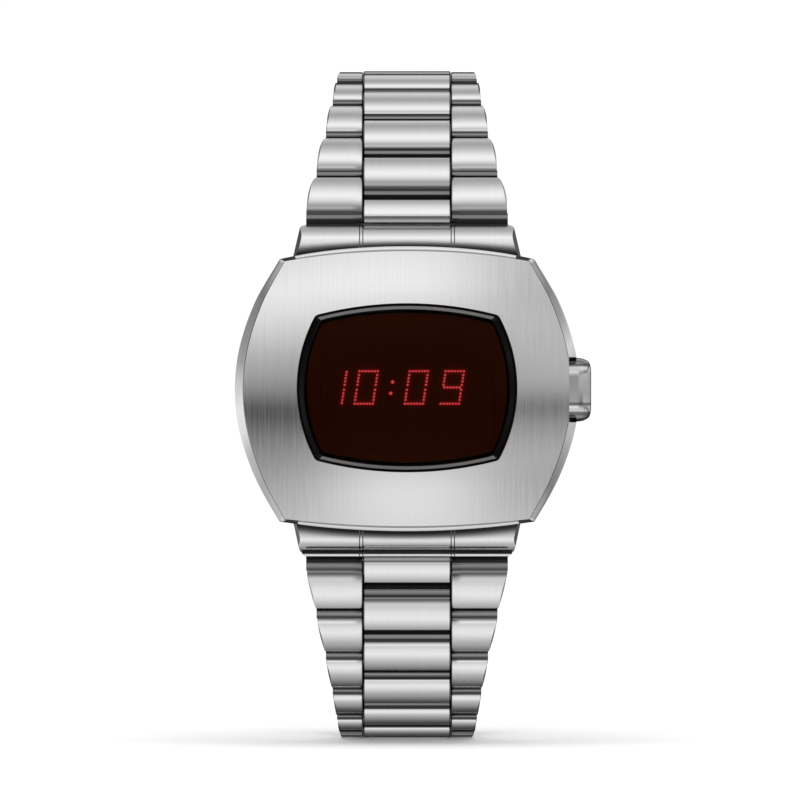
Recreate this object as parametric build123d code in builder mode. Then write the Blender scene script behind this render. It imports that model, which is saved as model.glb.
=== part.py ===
from build123d import *
import math
import os

os.makedirs("parts", exist_ok=True)

# ---------------------------------------------------------------- dimensions
# Row frame in mm: dial faces -Y, 12 o'clock is +Z, 3 o'clock is +X, and the
# origin is the centre of the case back's outer face.

# head
FACE_Y = -12.95          # apex of the brushed face
FACE_RX = 90.0           # radius of the face across the case
FACE_RZ = 60.0           # radius of the face along the case
CASE_SIDE = [(15.1, 15.78), (17.28, 11.9), (19.0, 7.9), (20.05, 4.0), (20.4, 0.0),
             (20.05, -4.0), (19.0, -7.9), (17.28, -11.9), (15.1, -15.78)]
CASE_APEX_Z = 17.0
CASE_BACK_Y = -1.2
BEVEL_SIDE = 1.0
BEVEL_END = 0.4

WIN_CORNER_X, WIN_CORNER_Z = 10.8, 8.55
WIN_APEX_X, WIN_APEX_Z = 13.0, 9.95
WIN_Z = 0.23             # height of the window's middle
LEDGE_INSET = 1.1
SEAT_Y = -11.25
GASKET_T = 0.18
CRYSTAL_RISE = 0.35      # crystal apex above the face apex
CRYSTAL_GAP = 0.09
CRYSTAL_BEVEL = 0.52

CAVITY_X, CAVITY_Z, CAVITY_R = 14.2, 11.3, 5.0
CAVITY_FRONT_Y = -9.3
HOOD_X = 13.7
HOOD_Z = 13.35
HOOD_LIP_Y = -8.9

# bracelet chain
SB_Y = -6.3
SB_Z = 15.14
P = 6.4                  # hinge pitch
KR = 1.5                 # knuckle radius
TOP_TILT = [30.575, 39.091, 46.054, 56.410, 68.669, 87.627, 107.166, 126.118, 144.318, 162.140]
BOT_TILT = [20.657, 31.169, 42.036, 51.367, 63.605, 75.923, 97.127, 119.498, 139.827, 156.504, 169.463]
EDGE_W = [24.4, 21.95, 19.75, 18.15, 17.15, 16.5, 16.15, 16.0, 16.0, 16.0, 16.0, 16.0]
CENTRE_HALF = 5.17
OUTER_FAR, OUTER_NEAR = 3.30, 2.90      # reach of an outer link from its middle
CENTRE_FAR, CENTRE_NEAR = 3.06, 2.45    # reach of a centre link from its middle
CROWN = 1.87             # apex of a link above the pin line
OUTER_H = (1.26, 1.32)   # height of the dome's near and far ends, outer links
CENTRE_H = (1.36, 1.24)  # the same, centre links
END_FAR = 4.63           # far edge of the end link body
OUTER_IN = 5.25
PIN_R = 0.5
RUN_FIT = 0.04
FIX_FIT = 0.01
END_W0, END_W1 = 27.0, 25.1
END_TUBE_R = 1.6
LINK_FACET = 0.3          # slanted edge along the outer flanks
END_FACET = 0.42
BAR_R = 0.75
BAR_BORE = 0.8
TIP_R = 0.4

# clasp
CL = 38.0                # pin to pin length of the closed clasp
BLADE_HALF = 5.0
AXIS_C = 4.0             # middle blade to cover pin
AXIS_C_N = 0.45
AXIS_B = 32.8            # inner blade to middle blade pin
AXIS_B_N = -0.5
COVER_HALF = 8.1
COVER_WALL = 1.0
COVER_OUT = 2.3
COVER_IN = 1.5

# push button
BTN_Y, BTN_Z = -8.15, 0.0
BTN_LEN, BTN_H = 7.56, 4.5
BTN_X0, BTN_X1 = 19.0, 21.82
BTN_LIP_X = 19.2         # the case face reaches over the cap to here
BTN_TRAVEL = 0.35
STEM_R = 0.8

# ---------------------------------------------------------------- frames


def chain(tilts, sign):
    """Hinge positions (y, z) of a chain that starts at a spring bar."""
    y, z = SB_Y, sign * SB_Z
    out = [(y, z)]
    for t in tilts:
        y += P * math.sin(math.radians(t))
        z += sign * P * math.cos(math.radians(t))
        out.append((y, z))
    return out


TOP = chain(TOP_TILT, 1)
BOT = chain(BOT_TILT, -1)


def side_plane(point, tilt, sign, x=0.0):
    """Plane with local x along the chain, local y out of the bracelet."""
    t = math.radians(tilt)
    return Plane(origin=(x, point[0], point[1]),
                 x_dir=(0, math.sin(t), sign * math.cos(t)), z_dir=(sign, 0, 0))


def plan_plane(point, tilt, sign):
    """Plane with local x along the chain and local z out of the bracelet."""
    t = math.radians(tilt)
    return Plane(origin=(0, point[0], point[1]),
                 x_dir=(0, math.sin(t), sign * math.cos(t)),
                 z_dir=(0, -math.cos(t), sign * math.sin(t)))


def cross_plane(point, tilt, sign, s):
    """Plane across the chain at distance s, local y out of the bracelet."""
    t = math.radians(tilt)
    d = (0, math.sin(t), sign * math.cos(t))
    return Plane(origin=(0, point[0] + s * d[1], point[1] + s * d[2]), x_dir=(-sign, 0, 0), z_dir=d)


def flanks(point, tilt, sign, s0, s1, w0, w1, inner, facet):
    """Envelope of a link pair: tapering flanks with a slanted top edge."""
    with BuildPart() as env:
        for sgn in (1, -1):
            for s, w in ((s0, w0), (s1, w1)):
                with BuildSketch(cross_plane(point, tilt, sign, s)):
                    with BuildLine():
                        Polyline((sgn * inner, -2.4), (sgn * (w / 2 - 0.25), -2.4), (sgn * w / 2, -0.9),
                                 (sgn * w / 2, 1.85 - 1.3 * facet), (sgn * (w / 2 - facet), 1.92),
                                 (sgn * inner, 1.92), close=True)
                    make_face()
            loft()
    return env.part


def link_profile(c, far, near, h_near, h_far):
    """Side profile of one link whose middle lies at local x = c."""
    a, b = c - P / 4, c + P / 4
    lip, bulge = c - near, max(near - 1.43, 1.25)
    mid = c + (far - near + 0.68) / 2
    l1 = Line((b, -KR), (a, -KR))
    ThreePointArc((a, -KR), (a - bulge, -0.3), (lip, 0.90))
    # lip and groove, then the domed top
    Polyline((lip, 0.90), (lip + 0.08, 1.04), (lip + 0.68, 1.14), (lip + 0.80, h_near))
    ThreePointArc((lip + 0.80, h_near), (mid, CROWN), (c + far - 0.12, h_far))
    Polyline((c + far - 0.12, h_far), (c + far, h_far - 0.13), (b + 1.40, 0.53))
    ThreePointArc((b + 1.40, 0.53), (b + 1.27, -0.80), (b, -KR))
    return l1


def bar_along_x(plane, s, n, r, half):
    """Round bar across the bracelet at local (s, n)."""
    with BuildSketch(plane):
        with Locations((s, n)):
            Circle(r)
    extrude(amount=half, both=True)


# ---------------------------------------------------------------- head

with BuildPart() as pillow:
    with BuildSketch(Plane.XY):
        with BuildLine():
            e = 25.0
            edge_y = FACE_Y + FACE_RX - math.sqrt(FACE_RX ** 2 - e ** 2)
            ThreePointArc((-e, edge_y), (0, FACE_Y), (e, edge_y))
            Polyline((e, edge_y), (e, 6), (-e, 6), (-e, edge_y))
        make_face()
    revolve(axis=Axis((0, FACE_Y + FACE_RZ, 0), (1, 0, 0)), revolution_arc=360)

with BuildSketch(Plane.XZ) as window_outline:
    with BuildLine():
        cx, cz, ax, az = WIN_CORNER_X, WIN_CORNER_Z, WIN_APEX_X, WIN_APEX_Z
        m = WIN_Z
        ThreePointArc((-cx, m + cz), (0, m + az), (cx, m + cz))
        ThreePointArc((cx, m + cz), (ax, m), (cx, m - cz))
        ThreePointArc((cx, m - cz), (0, m - az), (-cx, m - cz))
        ThreePointArc((-cx, m - cz), (-ax, m), (-cx, m + cz))
    make_face()

with BuildSketch(Plane.XZ) as case_outline:
    with BuildLine():
        Spline(*[(x, z) for x, z in CASE_SIDE])
        Spline(*[(-x, z) for x, z in CASE_SIDE])
        ThreePointArc((-CASE_SIDE[0][0], CASE_SIDE[0][1]), (0, CASE_APEX_Z), CASE_SIDE[0])
        ThreePointArc((-CASE_SIDE[-1][0], CASE_SIDE[-1][1]), (0, -CASE_APEX_Z), CASE_SIDE[-1])
    make_face()

with BuildPart() as case_shell:
    with BuildSketch(Plane.XZ.offset(-CASE_BACK_Y)):
        add(case_outline.sketch)
    extrude(amount=14.0)
    add(pillow.part, mode=Mode.INTERSECT)
    front = [e for e in case_shell.edges() if e.center().Y < -8.0 and e.length > 8]
    chamfer([e for e in front if abs(e.center().X) > 10], BEVEL_SIDE, BEVEL_SIDE * 0.85)
    ends = [e for e in case_shell.edges() if e.center().Y < -8.0 and e.length > 8 and abs(e.center().Z) > 12]
    chamfer(ends, BEVEL_END)
    # back edge eased
    back = case_shell.faces().sort_by(Axis.Y)[-1].edges()
    chamfer(back, 0.9)
    # window and crystal seat
    with BuildSketch(Plane.XZ.offset(-SEAT_Y)):
        add(window_outline.sketch)
    extrude(amount=4, mode=Mode.SUBTRACT)
    with BuildSketch(Plane.XZ.offset(8.0)):
        offset(window_outline.sketch, amount=-LEDGE_INSET)
    extrude(amount=5, mode=Mode.SUBTRACT)
    # cavity for the module
    with BuildSketch(Plane.XZ.offset(0)):
        RectangleRounded(2 * CAVITY_X, 2 * CAVITY_Z, CAVITY_R)
    extrude(amount=-CAVITY_FRONT_Y, mode=Mode.SUBTRACT)
    # room for the end of the button stem
    with BuildSketch(Plane.XZ.offset(6.6)):
        with Locations((13.3, 0)):
            Rectangle(1.8, 3.8)
    extrude(amount=3.3, mode=Mode.SUBTRACT)
    # hooded ends
    for s in (1, -1):
        with BuildSketch(Plane.XZ.offset(0)):
            with Locations((0, s * (HOOD_Z + 4))):
                Rectangle(2 * HOOD_X, 8)
        extrude(amount=-HOOD_LIP_Y, mode=Mode.SUBTRACT)
        # spring bar sockets
        with BuildSketch(Plane.YZ):
            with Locations((SB_Y, s * SB_Z)):
                Circle(TIP_R + 0.04)
        extrude(amount=14.85, both=True, mode=Mode.SUBTRACT)
    # button notch in the bevel, deep pocket, spring counterbore, stem bore and ring groove
    with BuildSketch(Plane.XZ.offset(8.5)):
        with Locations((BTN_LIP_X + 3, BTN_Z)):
            Rectangle(6, BTN_LEN + 0.2)
    extrude(amount=5, mode=Mode.SUBTRACT)
    with BuildSketch(Plane.YZ.offset(BTN_X0 - BTN_TRAVEL - 0.1)):
        with Locations((BTN_Y, BTN_Z)):
            SlotOverall(BTN_LEN + 0.2, BTN_H + 0.2, rotation=90)
    extrude(amount=6, mode=Mode.SUBTRACT)
    with BuildSketch(Plane.YZ.offset(16.2)):
        with Locations((BTN_Y, BTN_Z)):
            Circle(1.6)
    extrude(amount=3, mode=Mode.SUBTRACT)
    with BuildSketch(Plane.YZ.offset(13.0)):
        with Locations((BTN_Y, BTN_Z)):
            Circle(STEM_R + 0.05)
    extrude(amount=4, mode=Mode.SUBTRACT)
    with BuildSketch(Plane.YZ.offset(14.95)):
        with Locations((BTN_Y, BTN_Z)):
            Circle(1.38)
    extrude(amount=0.6, mode=Mode.SUBTRACT)
    # screw holes
    with BuildSketch(Plane.XZ.offset(0)):
        with GridLocations(28.0, 22.2, 2, 2):
            Circle(0.52)
    extrude(amount=3.6, mode=Mode.SUBTRACT)
case_shell.part.label = "case_shell"

with BuildPart() as crystal:
    with BuildSketch(Plane.XZ.offset(-(SEAT_Y - GASKET_T))):
        offset(window_outline.sketch, amount=-CRYSTAL_GAP, kind=Kind.INTERSECTION)
    extrude(amount=6)
    with Locations((0, -CRYSTAL_RISE, 0)):
        add(pillow.part, mode=Mode.INTERSECT)
    rim = crystal.faces().filter_by(lambda f: f.center().Y < -12.5).edges()
    chamfer(rim, CRYSTAL_BEVEL)
crystal.part.label = "crystal"

with BuildPart() as crystal_gasket:
    with BuildSketch(Plane.XZ.offset(-SEAT_Y)):
        offset(window_outline.sketch, amount=-CRYSTAL_GAP, kind=Kind.INTERSECTION)
        offset(window_outline.sketch, amount=-LEDGE_INSET, mode=Mode.SUBTRACT)
    extrude(amount=GASKET_T)
crystal_gasket.part.label = "crystal_gasket"

with BuildPart() as display_mask:
    with BuildSketch(Plane.XZ.offset(10.62)):
        offset(window_outline.sketch, amount=-LEDGE_INSET - 0.1)
        Rectangle(20.6, 12.6, mode=Mode.SUBTRACT)
    extrude(amount=0.55)
display_mask.part.label = "display_mask"

with BuildPart() as led_substrate:
    with BuildSketch(Plane.XZ.offset(9.32)):
        RectangleRounded(20.4, 13.4, 0.6)
    extrude(amount=1.2)
led_substrate.part.label = "led_substrate"

# dotted digits, slanted to the right
DOT_R = 0.15
DOT_X = 0.361            # dot step across
SLANT = math.tan(math.radians(8.7))
DOT_Z0 = 0.27            # height of the middle row
ROW_H = 1.92             # half the digit height
DOTS = []


def dot(x, z):
    DOTS.append((x + (z - DOT_Z0) * SLANT, z))


SIDE_UP = [0.30, 0.71, 1.09, 1.47]
SIDE_DN = [-0.28, -0.71, -1.08, -1.47]


def row_dots(x_left, n, z):
    for i in range(n):
        dot(x_left + i * DOT_X, DOT_Z0 + z)


def side_dots(x, zs):
    for z in zs:
        dot(x, DOT_Z0 + z)


DIGIT_W = 6 * DOT_X
X1, X2, X3, X4 = -7.49, -5.90, 0.03, 4.27
side_dots(X1 + 0.08, [1.83] + SIDE_UP + SIDE_DN + [-1.85])
for xd in (X2, X3):
    row_dots(xd, 7, ROW_H)
    row_dots(xd, 7, -ROW_H)
    side_dots(xd, SIDE_UP + SIDE_DN)
    side_dots(xd + DIGIT_W, SIDE_UP + SIDE_DN)
row_dots(X4, 7, ROW_H)
row_dots(X4 + DOT_X * 0.4, 6, 0.0)
row_dots(X4, 7, -ROW_H)
side_dots(X4, SIDE_UP)
side_dots(X4 + DIGIT_W, SIDE_UP + SIDE_DN)
COLON = [(-1.70, 0.91), (-1.93, -0.42)]

with BuildPart() as led_digits:
    with BuildSketch(Plane.XZ.offset(10.53)):
        with Locations(*DOTS):
            Circle(DOT_R)
        with Locations(*COLON):
            Circle(DOT_R * 1.45)
    extrude(amount=0.07)
led_digits.part.label = "led_digits"

with BuildPart() as circuit_board:
    with BuildSketch(Plane.XZ.offset(8.45)):
        RectangleRounded(24.6, 19.6, 2.5)
    extrude(amount=0.8)
circuit_board.part.label = "circuit_board"

with BuildPart() as ic_chip:
    with BuildSketch(Plane.XZ.offset(7.2)):
        with Locations((5.0, 3.0)):
            Rectangle(6.0, 6.0)
    extrude(amount=1.2)
    chamfer(ic_chip.faces().sort_by(Axis.Y)[-1].edges(), 0.15)
ic_chip.part.label = "ic_chip"

with BuildPart() as quartz_can:
    with BuildSketch(Plane.YZ.offset(2.0)):
        with Locations((-7.55, -5.2)):
            Circle(0.85)
    extrude(amount=6.0)
    fillet(quartz_can.faces().sort_by(Axis.X)[-1].edges(), 0.3)
quartz_can.part.label = "quartz_can"

BAT_X, BAT_Z, BAT_R = -3.6, 0.0, 7.9
with BuildPart() as module_holder:
    with BuildSketch(Plane.XZ.offset(2.3)):
        RectangleRounded(2 * CAVITY_X - 0.5, 2 * CAVITY_Z - 0.5, CAVITY_R - 0.25)
    extrude(amount=6.05)
    with BuildSketch(Plane.XZ.offset(6.6)):
        RectangleRounded(24.6, 19.0, 3.0)
    extrude(amount=3, mode=Mode.SUBTRACT)
    with BuildSketch(Plane.XZ.offset(0)):
        with Locations((BAT_X, BAT_Z)):
            Circle(BAT_R + 0.15)
    extrude(amount=6.0, mode=Mode.SUBTRACT)
    with BuildSketch(Plane.XZ.offset(6.0)):
        with Locations((BAT_X, BAT_Z)):
            Circle(2.2)
    extrude(amount=1.0, mode=Mode.SUBTRACT)
    with BuildSketch(Plane.XZ.offset(0)):
        with Locations((8.6, 0)):
            RectangleRounded(5.6, 12.0, 1.0)
    extrude(amount=6.0, mode=Mode.SUBTRACT)
    with BuildSketch(Plane.XZ.offset(6.6)):
        with Locations((13.4, 0)):
            Rectangle(2.4, 3.6)
    extrude(amount=3, mode=Mode.SUBTRACT)
module_holder.part.label = "module_holder"

with BuildPart() as battery:
    with BuildSketch(Plane.XZ.offset(2.75)):
        with Locations((BAT_X, BAT_Z)):
            Circle(BAT_R)
    extrude(amount=2.4)
    with BuildSketch(Plane.XZ.offset(5.15)):
        with Locations((BAT_X, BAT_Z)):
            Circle(BAT_R - 1.2)
    extrude(amount=0.75)
    fillet(battery.faces().sort_by(Axis.Y)[-1].edges(), 0.3)
battery.part.label = "battery"

with BuildPart() as battery_clip:
    with BuildSketch(Plane.XZ.offset(2.42)):
        with Locations((BAT_X, BAT_Z)):
            Rectangle(15.6, 3.0)
            Rectangle(3.0, 12.0)
            Circle(3.2)
            Circle(1.0, mode=Mode.SUBTRACT)
    extrude(amount=0.28)
battery_clip.part.label = "battery_clip"

with BuildPart() as case_back:
    with BuildSketch(Plane.XZ.offset(0)):
        RectangleRounded(31.2, 25.4, 5.2)
    extrude(amount=1.15)
    chamfer(case_back.faces().sort_by(Axis.Y)[-1].edges(), 0.35)
    with BuildSketch(Plane.XZ.offset(1.15)):
        RectangleRounded(2 * CAVITY_X - 0.6, 2 * CAVITY_Z - 0.6, CAVITY_R - 0.3)
    extrude(amount=0.95)
    # shallow groove round the middle field
    with BuildSketch(Plane.XZ.offset(0)):
        RectangleRounded(24.0, 18.6, 3.6)
        RectangleRounded(23.2, 17.8, 3.2, mode=Mode.SUBTRACT)
    extrude(amount=0.2, mode=Mode.SUBTRACT)
    with BuildSketch(Plane.XZ.offset(0)):
        with GridLocations(28.0, 22.2, 2, 2):
            Circle(0.56)
    extrude(amount=2.2, mode=Mode.SUBTRACT)
    with BuildSketch(Plane.XZ.offset(0)):
        with GridLocations(28.0, 22.2, 2, 2):
            Circle(1.0)
    extrude(amount=0.62, mode=Mode.SUBTRACT)
    # inner relief over the battery
    with BuildSketch(Plane.XZ.offset(1.5)):
        RectangleRounded(25.0, 19.0, 3.6)
    extrude(amount=1.0, mode=Mode.SUBTRACT)
case_back.part.label = "case_back"

with BuildPart() as case_back_gasket:
    with BuildSketch(Plane.XZ.offset(1.25)):
        RectangleRounded(2 * CAVITY_X - 0.04, 2 * CAVITY_Z - 0.04, CAVITY_R - 0.02)
        RectangleRounded(2 * CAVITY_X - 0.56, 2 * CAVITY_Z - 0.56, CAVITY_R - 0.28, mode=Mode.SUBTRACT)
    extrude(amount=0.6)
case_back_gasket.part.label = "case_back_gasket"

with BuildPart() as case_back_screws:
    with BuildSketch(Plane.XZ.offset(0.04)):
        with GridLocations(28.0, 22.2, 2, 2):
            Circle(0.94)
    extrude(amount=0.56)
    with BuildSketch(Plane.XZ.offset(0.04)):
        with GridLocations(28.0, 22.2, 2, 2):
            Rectangle(1.6, 0.24)
    extrude(amount=0.25, mode=Mode.SUBTRACT)
    with BuildSketch(Plane.XZ.offset(0.55)):
        with GridLocations(28.0, 22.2, 2, 2):
            Circle(0.5)
    extrude(amount=2.9)
case_back_screws.part.label = "case_back_screws"

for s, name in ((1, "spring_bar_top"), (-1, "spring_bar_bottom")):
    with BuildPart() as bar:
        with BuildSketch(Plane.YZ):
            with Locations((SB_Y, s * SB_Z)):
                Circle(BAR_R)
        extrude(amount=13.35, both=True)
        with BuildSketch(Plane.YZ):
            with Locations((SB_Y, s * SB_Z)):
                Circle(TIP_R)
        extrude(amount=14.7, both=True)
    bar.part.label = name
    export_step(bar.part, "parts/" + name + ".step")

# push button
with BuildPart() as push_button:
    with BuildSketch(Plane.YZ.offset(BTN_X0)):
        with Locations((BTN_Y, BTN_Z)):
            SlotOverall(BTN_LEN, BTN_H, rotation=90)
    extrude(amount=BTN_X1 - BTN_X0)
    fillet(push_button.faces().sort_by(Axis.X)[-1].edges(), 0.8)
    with BuildSketch(Plane.YZ.offset(13.3)):
        with Locations((BTN_Y, BTN_Z)):
            Circle(STEM_R)
    extrude(amount=BTN_X0 - 13.3 + 0.4)
    with BuildSketch(Plane.YZ.offset(13.5)):
        with Locations((BTN_Y, BTN_Z)):
            Circle(STEM_R + 0.1)
            Circle(0.55, mode=Mode.SUBTRACT)
    extrude(amount=0.34, mode=Mode.SUBTRACT)
push_button.part.label = "push_button"

with BuildPart() as button_clip:
    with BuildSketch(Plane.YZ.offset(13.52)):
        with Locations((BTN_Y, BTN_Z)):
            Circle(1.3)
            Circle(0.57, mode=Mode.SUBTRACT)
        with Locations((BTN_Y + 1.0, BTN_Z)):
            Rectangle(1.6, 0.9, mode=Mode.SUBTRACT)
    extrude(amount=0.3)
button_clip.part.label = "button_clip"

with BuildPart() as button_o_ring:
    with BuildSketch(Plane.XZ.offset(-BTN_Y)):
        with Locations((15.25, 1.09)):
            Circle(0.25)
    revolve(axis=Axis((0, BTN_Y, BTN_Z), (1, 0, 0)), revolution_arc=360)
button_o_ring.part.label = "button_o_ring"

with BuildPart() as button_spring:
    with BuildLine() as coil:
        Helix(pitch=0.62, height=2.48, radius=1.16, center=(16.4, BTN_Y, BTN_Z), direction=(1, 0, 0))
    with BuildSketch(Plane(origin=coil.line @ 0, z_dir=coil.line % 0)):
        Circle(0.15)
    sweep(path=coil.line, is_frenet=True)
button_spring.part.label = "button_spring"

# ---------------------------------------------------------------- end links


def end_link(sign, tilt):
    p = (SB_Y, sign * SB_Z)
    sp = side_plane(p, tilt, sign)
    pp = plan_plane(p, tilt, sign)
    env = flanks(p, tilt, sign, -2.0, 4.8, END_W0 + 0.8, END_W1, 0.0, END_FACET)
    with BuildPart() as b:
        # shoulders and tube
        with BuildSketch(sp):
            with BuildLine():
                Line((3.2, -KR), (0, -END_TUBE_R))
                ThreePointArc((0, -END_TUBE_R), (-END_TUBE_R, 0), (0, END_TUBE_R))
                Polyline((0, END_TUBE_R), (0.3, 1.68), (2.2, 1.62))
                ThreePointArc((2.2, 1.62), (3.5, 1.55), (END_FAR - 0.12, 1.36))
                Polyline((END_FAR - 0.12, 1.36), (END_FAR, 1.22), (4.6, 0.53))
                ThreePointArc((4.6, 0.53), (4.47, -0.80), (3.2, -KR))
            make_face()
        extrude(amount=13.58, both=True)
        add(env, mode=Mode.INTERSECT)
        # centre tongue
        with BuildSketch(sp):
            with BuildLine():
                c = 4.8
                bb = c + P / 4
                Line((bb, -KR), (2.6, -KR))
                Polyline((2.6, -KR), (2.6, 1.0), (END_FAR - 0.1, 1.1), (END_FAR + 0.1, 1.36), (5.3, 1.53))
                ThreePointArc((5.3, 1.53), (6.2, 1.62), (c + CENTRE_FAR - 0.12, CENTRE_H[1]))
                Polyline((c + CENTRE_FAR - 0.12, CENTRE_H[1]), (c + CENTRE_FAR, CENTRE_H[1] - 0.13), (bb + 1.40, 0.53))
                ThreePointArc((bb + 1.40, 0.53), (bb + 1.27, -0.80), (bb, -KR))
            make_face()
        extrude(amount=CENTRE_HALF, both=True)
        # double lines down the top
        for gx in (5.24, 5.62):
            for sgn in (1, -1):
                with BuildSketch(pp.offset(1.44)):
                    with Locations((2.3, sgn * gx)):
                        Rectangle(4.6, 0.13)
                extrude(amount=1.0, mode=Mode.SUBTRACT)
        # bores
        with BuildSketch(sp):
            Circle(BAR_BORE)
            with Locations((P, 0)):
                Circle(PIN_R + RUN_FIT)
        extrude(amount=15, both=True, mode=Mode.SUBTRACT)
    return b.part


end_link_top = end_link(1, TOP_TILT[0])
end_link_top.label = "end_link_top"
end_link_bottom = end_link(-1, BOT_TILT[0])
end_link_bottom.label = "end_link_bottom"
export_step(end_link_top, "parts/end_link_top.step")
export_step(end_link_bottom, "parts/end_link_bottom.step")

# ---------------------------------------------------------------- link rows


def link_row(point, tilt, sign, w0, w1):
    sp = side_plane(point, tilt, sign)
    h0 = w0 / 2 - 0.25 * (w0 - w1) / 2      # half width at the hinge pin
    h1 = w0 / 2 - 0.75 * (w0 - w1) / 2      # half width at the rod
    env = flanks(point, tilt, sign, -P / 4, 3 * P / 4 + 0.4, w0, w1 + (w1 - w0) / 16, OUTER_IN, LINK_FACET)
    with BuildPart() as b:
        with BuildSketch(sp):
            with BuildLine():
                link_profile(P / 4, OUTER_FAR, OUTER_NEAR, *OUTER_H)
            make_face()
        extrude(amount=14, both=True)
        add(env, mode=Mode.INTERSECT)
        with BuildSketch(sp):
            with BuildLine():
                link_profile(3 * P / 4, CENTRE_FAR, CENTRE_NEAR, *CENTRE_H)
            make_face()
        extrude(amount=CENTRE_HALF, both=True)
        with BuildSketch(sp):
            Circle(PIN_R + FIX_FIT)
            with Locations((P / 2, 0)):
                Circle(PIN_R + FIX_FIT)
            with Locations((P, 0)):
                Circle(PIN_R + RUN_FIT)
        extrude(amount=14, both=True, mode=Mode.SUBTRACT)
        with BuildSketch(sp):
            Circle(PIN_R)
        extrude(amount=h0 - 0.12, both=True)
        with BuildSketch(sp):
            with Locations((P / 2, 0)):
                Circle(PIN_R)
        extrude(amount=h1 - 0.12, both=True)
    return b.part


for k in range(1, len(TOP_TILT)):
    row = link_row(TOP[k], TOP_TILT[k], 1, EDGE_W[k - 1], EDGE_W[k])
    row.label = "top_row_%d" % k
    export_step(row, "parts/top_row_%d.step" % k)
for k in range(1, len(BOT_TILT)):
    row = link_row(BOT[k], BOT_TILT[k], -1, EDGE_W[k - 1], EDGE_W[k])
    row.label = "bottom_row_%d" % k
    export_step(row, "parts/bottom_row_%d.step" % k)

# ---------------------------------------------------------------- clasp

cs = side_plane(TOP[-1], 180.0, 1)
cp = plan_plane(TOP[-1], 180.0, 1)

with BuildPart() as clasp_blade_inner:
    # lugs at the 12 o'clock end
    with BuildSketch(cs):
        with BuildLine():
            Line((0, -KR), (2.8, -KR))
            Line((2.8, -KR), (2.8, -0.6))
            ThreePointArc((2.8, -0.6), (1.75, -0.25), (1.3, 0.75))
            ThreePointArc((1.3, 0.75), (-1.5, 0), (0, -KR))
        make_face()
    extrude(amount=7.9, both=True)
    with BuildSketch(cp.offset(-2)):
        with Locations((-0.2, 0)):
            Rectangle(3.7, 2 * OUTER_IN)
    extrude(amount=4, mode=Mode.SUBTRACT)
    # blade
    with BuildSketch(cp.offset(-KR)):
        with BuildLine():
            Polyline((1.65, -OUTER_IN - 0.1), (2.8, -OUTER_IN - 0.1), (3.4, -BLADE_HALF), (AXIS_B, -BLADE_HALF),
                     (AXIS_B, BLADE_HALF), (3.4, BLADE_HALF), (2.8, OUTER_IN + 0.1), (1.65, OUTER_IN + 0.1), close=True)
        make_face()
        with Locations((17.0, 0)):
            SlotOverall(20.0, 4.2, mode=Mode.SUBTRACT)
    extrude(amount=0.9)
    # knuckles at the 6 o'clock end
    with BuildSketch(cs):
        with Locations((AXIS_B, AXIS_B_N)):
            Circle(1.12)
    extrude(amount=6, both=True, mode=Mode.SUBTRACT)
    with BuildSketch(cs):
        with BuildLine():
            Polyline((AXIS_B - 1.6, -KR), (AXIS_B, -KR), (AXIS_B, AXIS_B_N + 0.2), (AXIS_B - 0.6, -0.6),
                     (AXIS_B - 1.6, -0.6), close=True)
        make_face()
        with Locations((AXIS_B, AXIS_B_N)):
            Circle(1.0)
    extrude(amount=BLADE_HALF, both=True)
    with BuildSketch(cs):
        with Locations((AXIS_B, AXIS_B_N)):
            Circle(1.12)
    extrude(amount=2.3, both=True, mode=Mode.SUBTRACT)
    with BuildSketch(cs):
        Circle(PIN_R + FIX_FIT)
        with Locations((AXIS_B, AXIS_B_N)):
            Circle(0.45 + FIX_FIT)
    extrude(amount=8.5, both=True, mode=Mode.SUBTRACT)
clasp_blade_inner.part.label = "clasp_blade_inner"

with BuildPart() as clasp_end_pin:
    with BuildSketch(cs):
        Circle(PIN_R)
    extrude(amount=7.75, both=True)
clasp_end_pin.part.label = "clasp_end_pin"

with BuildPart() as clasp_blade_pin:
    with BuildSketch(cs):
        with Locations((AXIS_B, AXIS_B_N)):
            Circle(0.45)
    extrude(amount=BLADE_HALF - 0.1, both=True)
clasp_blade_pin.part.label = "clasp_blade_pin"

with BuildPart() as clasp_blade_middle:
    with BuildSketch(cp.offset(-0.42)):
        with Locations(((AXIS_B + AXIS_C) / 2, 0)):
            Rectangle(AXIS_B - AXIS_C, 2 * BLADE_HALF)
        with Locations((19.0, 0)):
            SlotOverall(17.0, 4.2, mode=Mode.SUBTRACT)
    extrude(amount=0.8)
    with BuildSketch(cs):
        with Locations((AXIS_B, AXIS_B_N)):
            Circle(1.3)
        with Locations((AXIS_C, AXIS_C_N)):
            Circle(0.9)
    extrude(amount=6, both=True, mode=Mode.SUBTRACT)
    with BuildSketch(cs):
        with BuildLine():
            Polyline((AXIS_B - 1.9, -0.42), (AXIS_B - 0.9, -0.52), (AXIS_B, -0.5), (AXIS_B, 0.5),
                     (AXIS_B - 1.9, 0.38), close=True)
        make_face()
        with Locations((AXIS_B, AXIS_B_N)):
            Circle(1.0)
    extrude(amount=2.15, both=True)
    with BuildSketch(cs):
        with BuildLine():
            Polyline((AXIS_C, -0.42), (AXIS_C + 1.6, -0.42), (AXIS_C + 1.6, 0.38), (AXIS_C, 0.9), close=True)
        make_face()
        with Locations((AXIS_C, AXIS_C_N)):
            Circle(0.88)
    extrude(amount=BLADE_HALF, both=True)
    with BuildSketch(cs):
        with Locations((AXIS_B, AXIS_B_N)):
            Circle(0.45 + RUN_FIT)
        with Locations((AXIS_C, AXIS_C_N)):
            Circle(0.45 + RUN_FIT)
    extrude(amount=6, both=True, mode=Mode.SUBTRACT)
clasp_blade_middle.part.label = "clasp_blade_middle"

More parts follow.
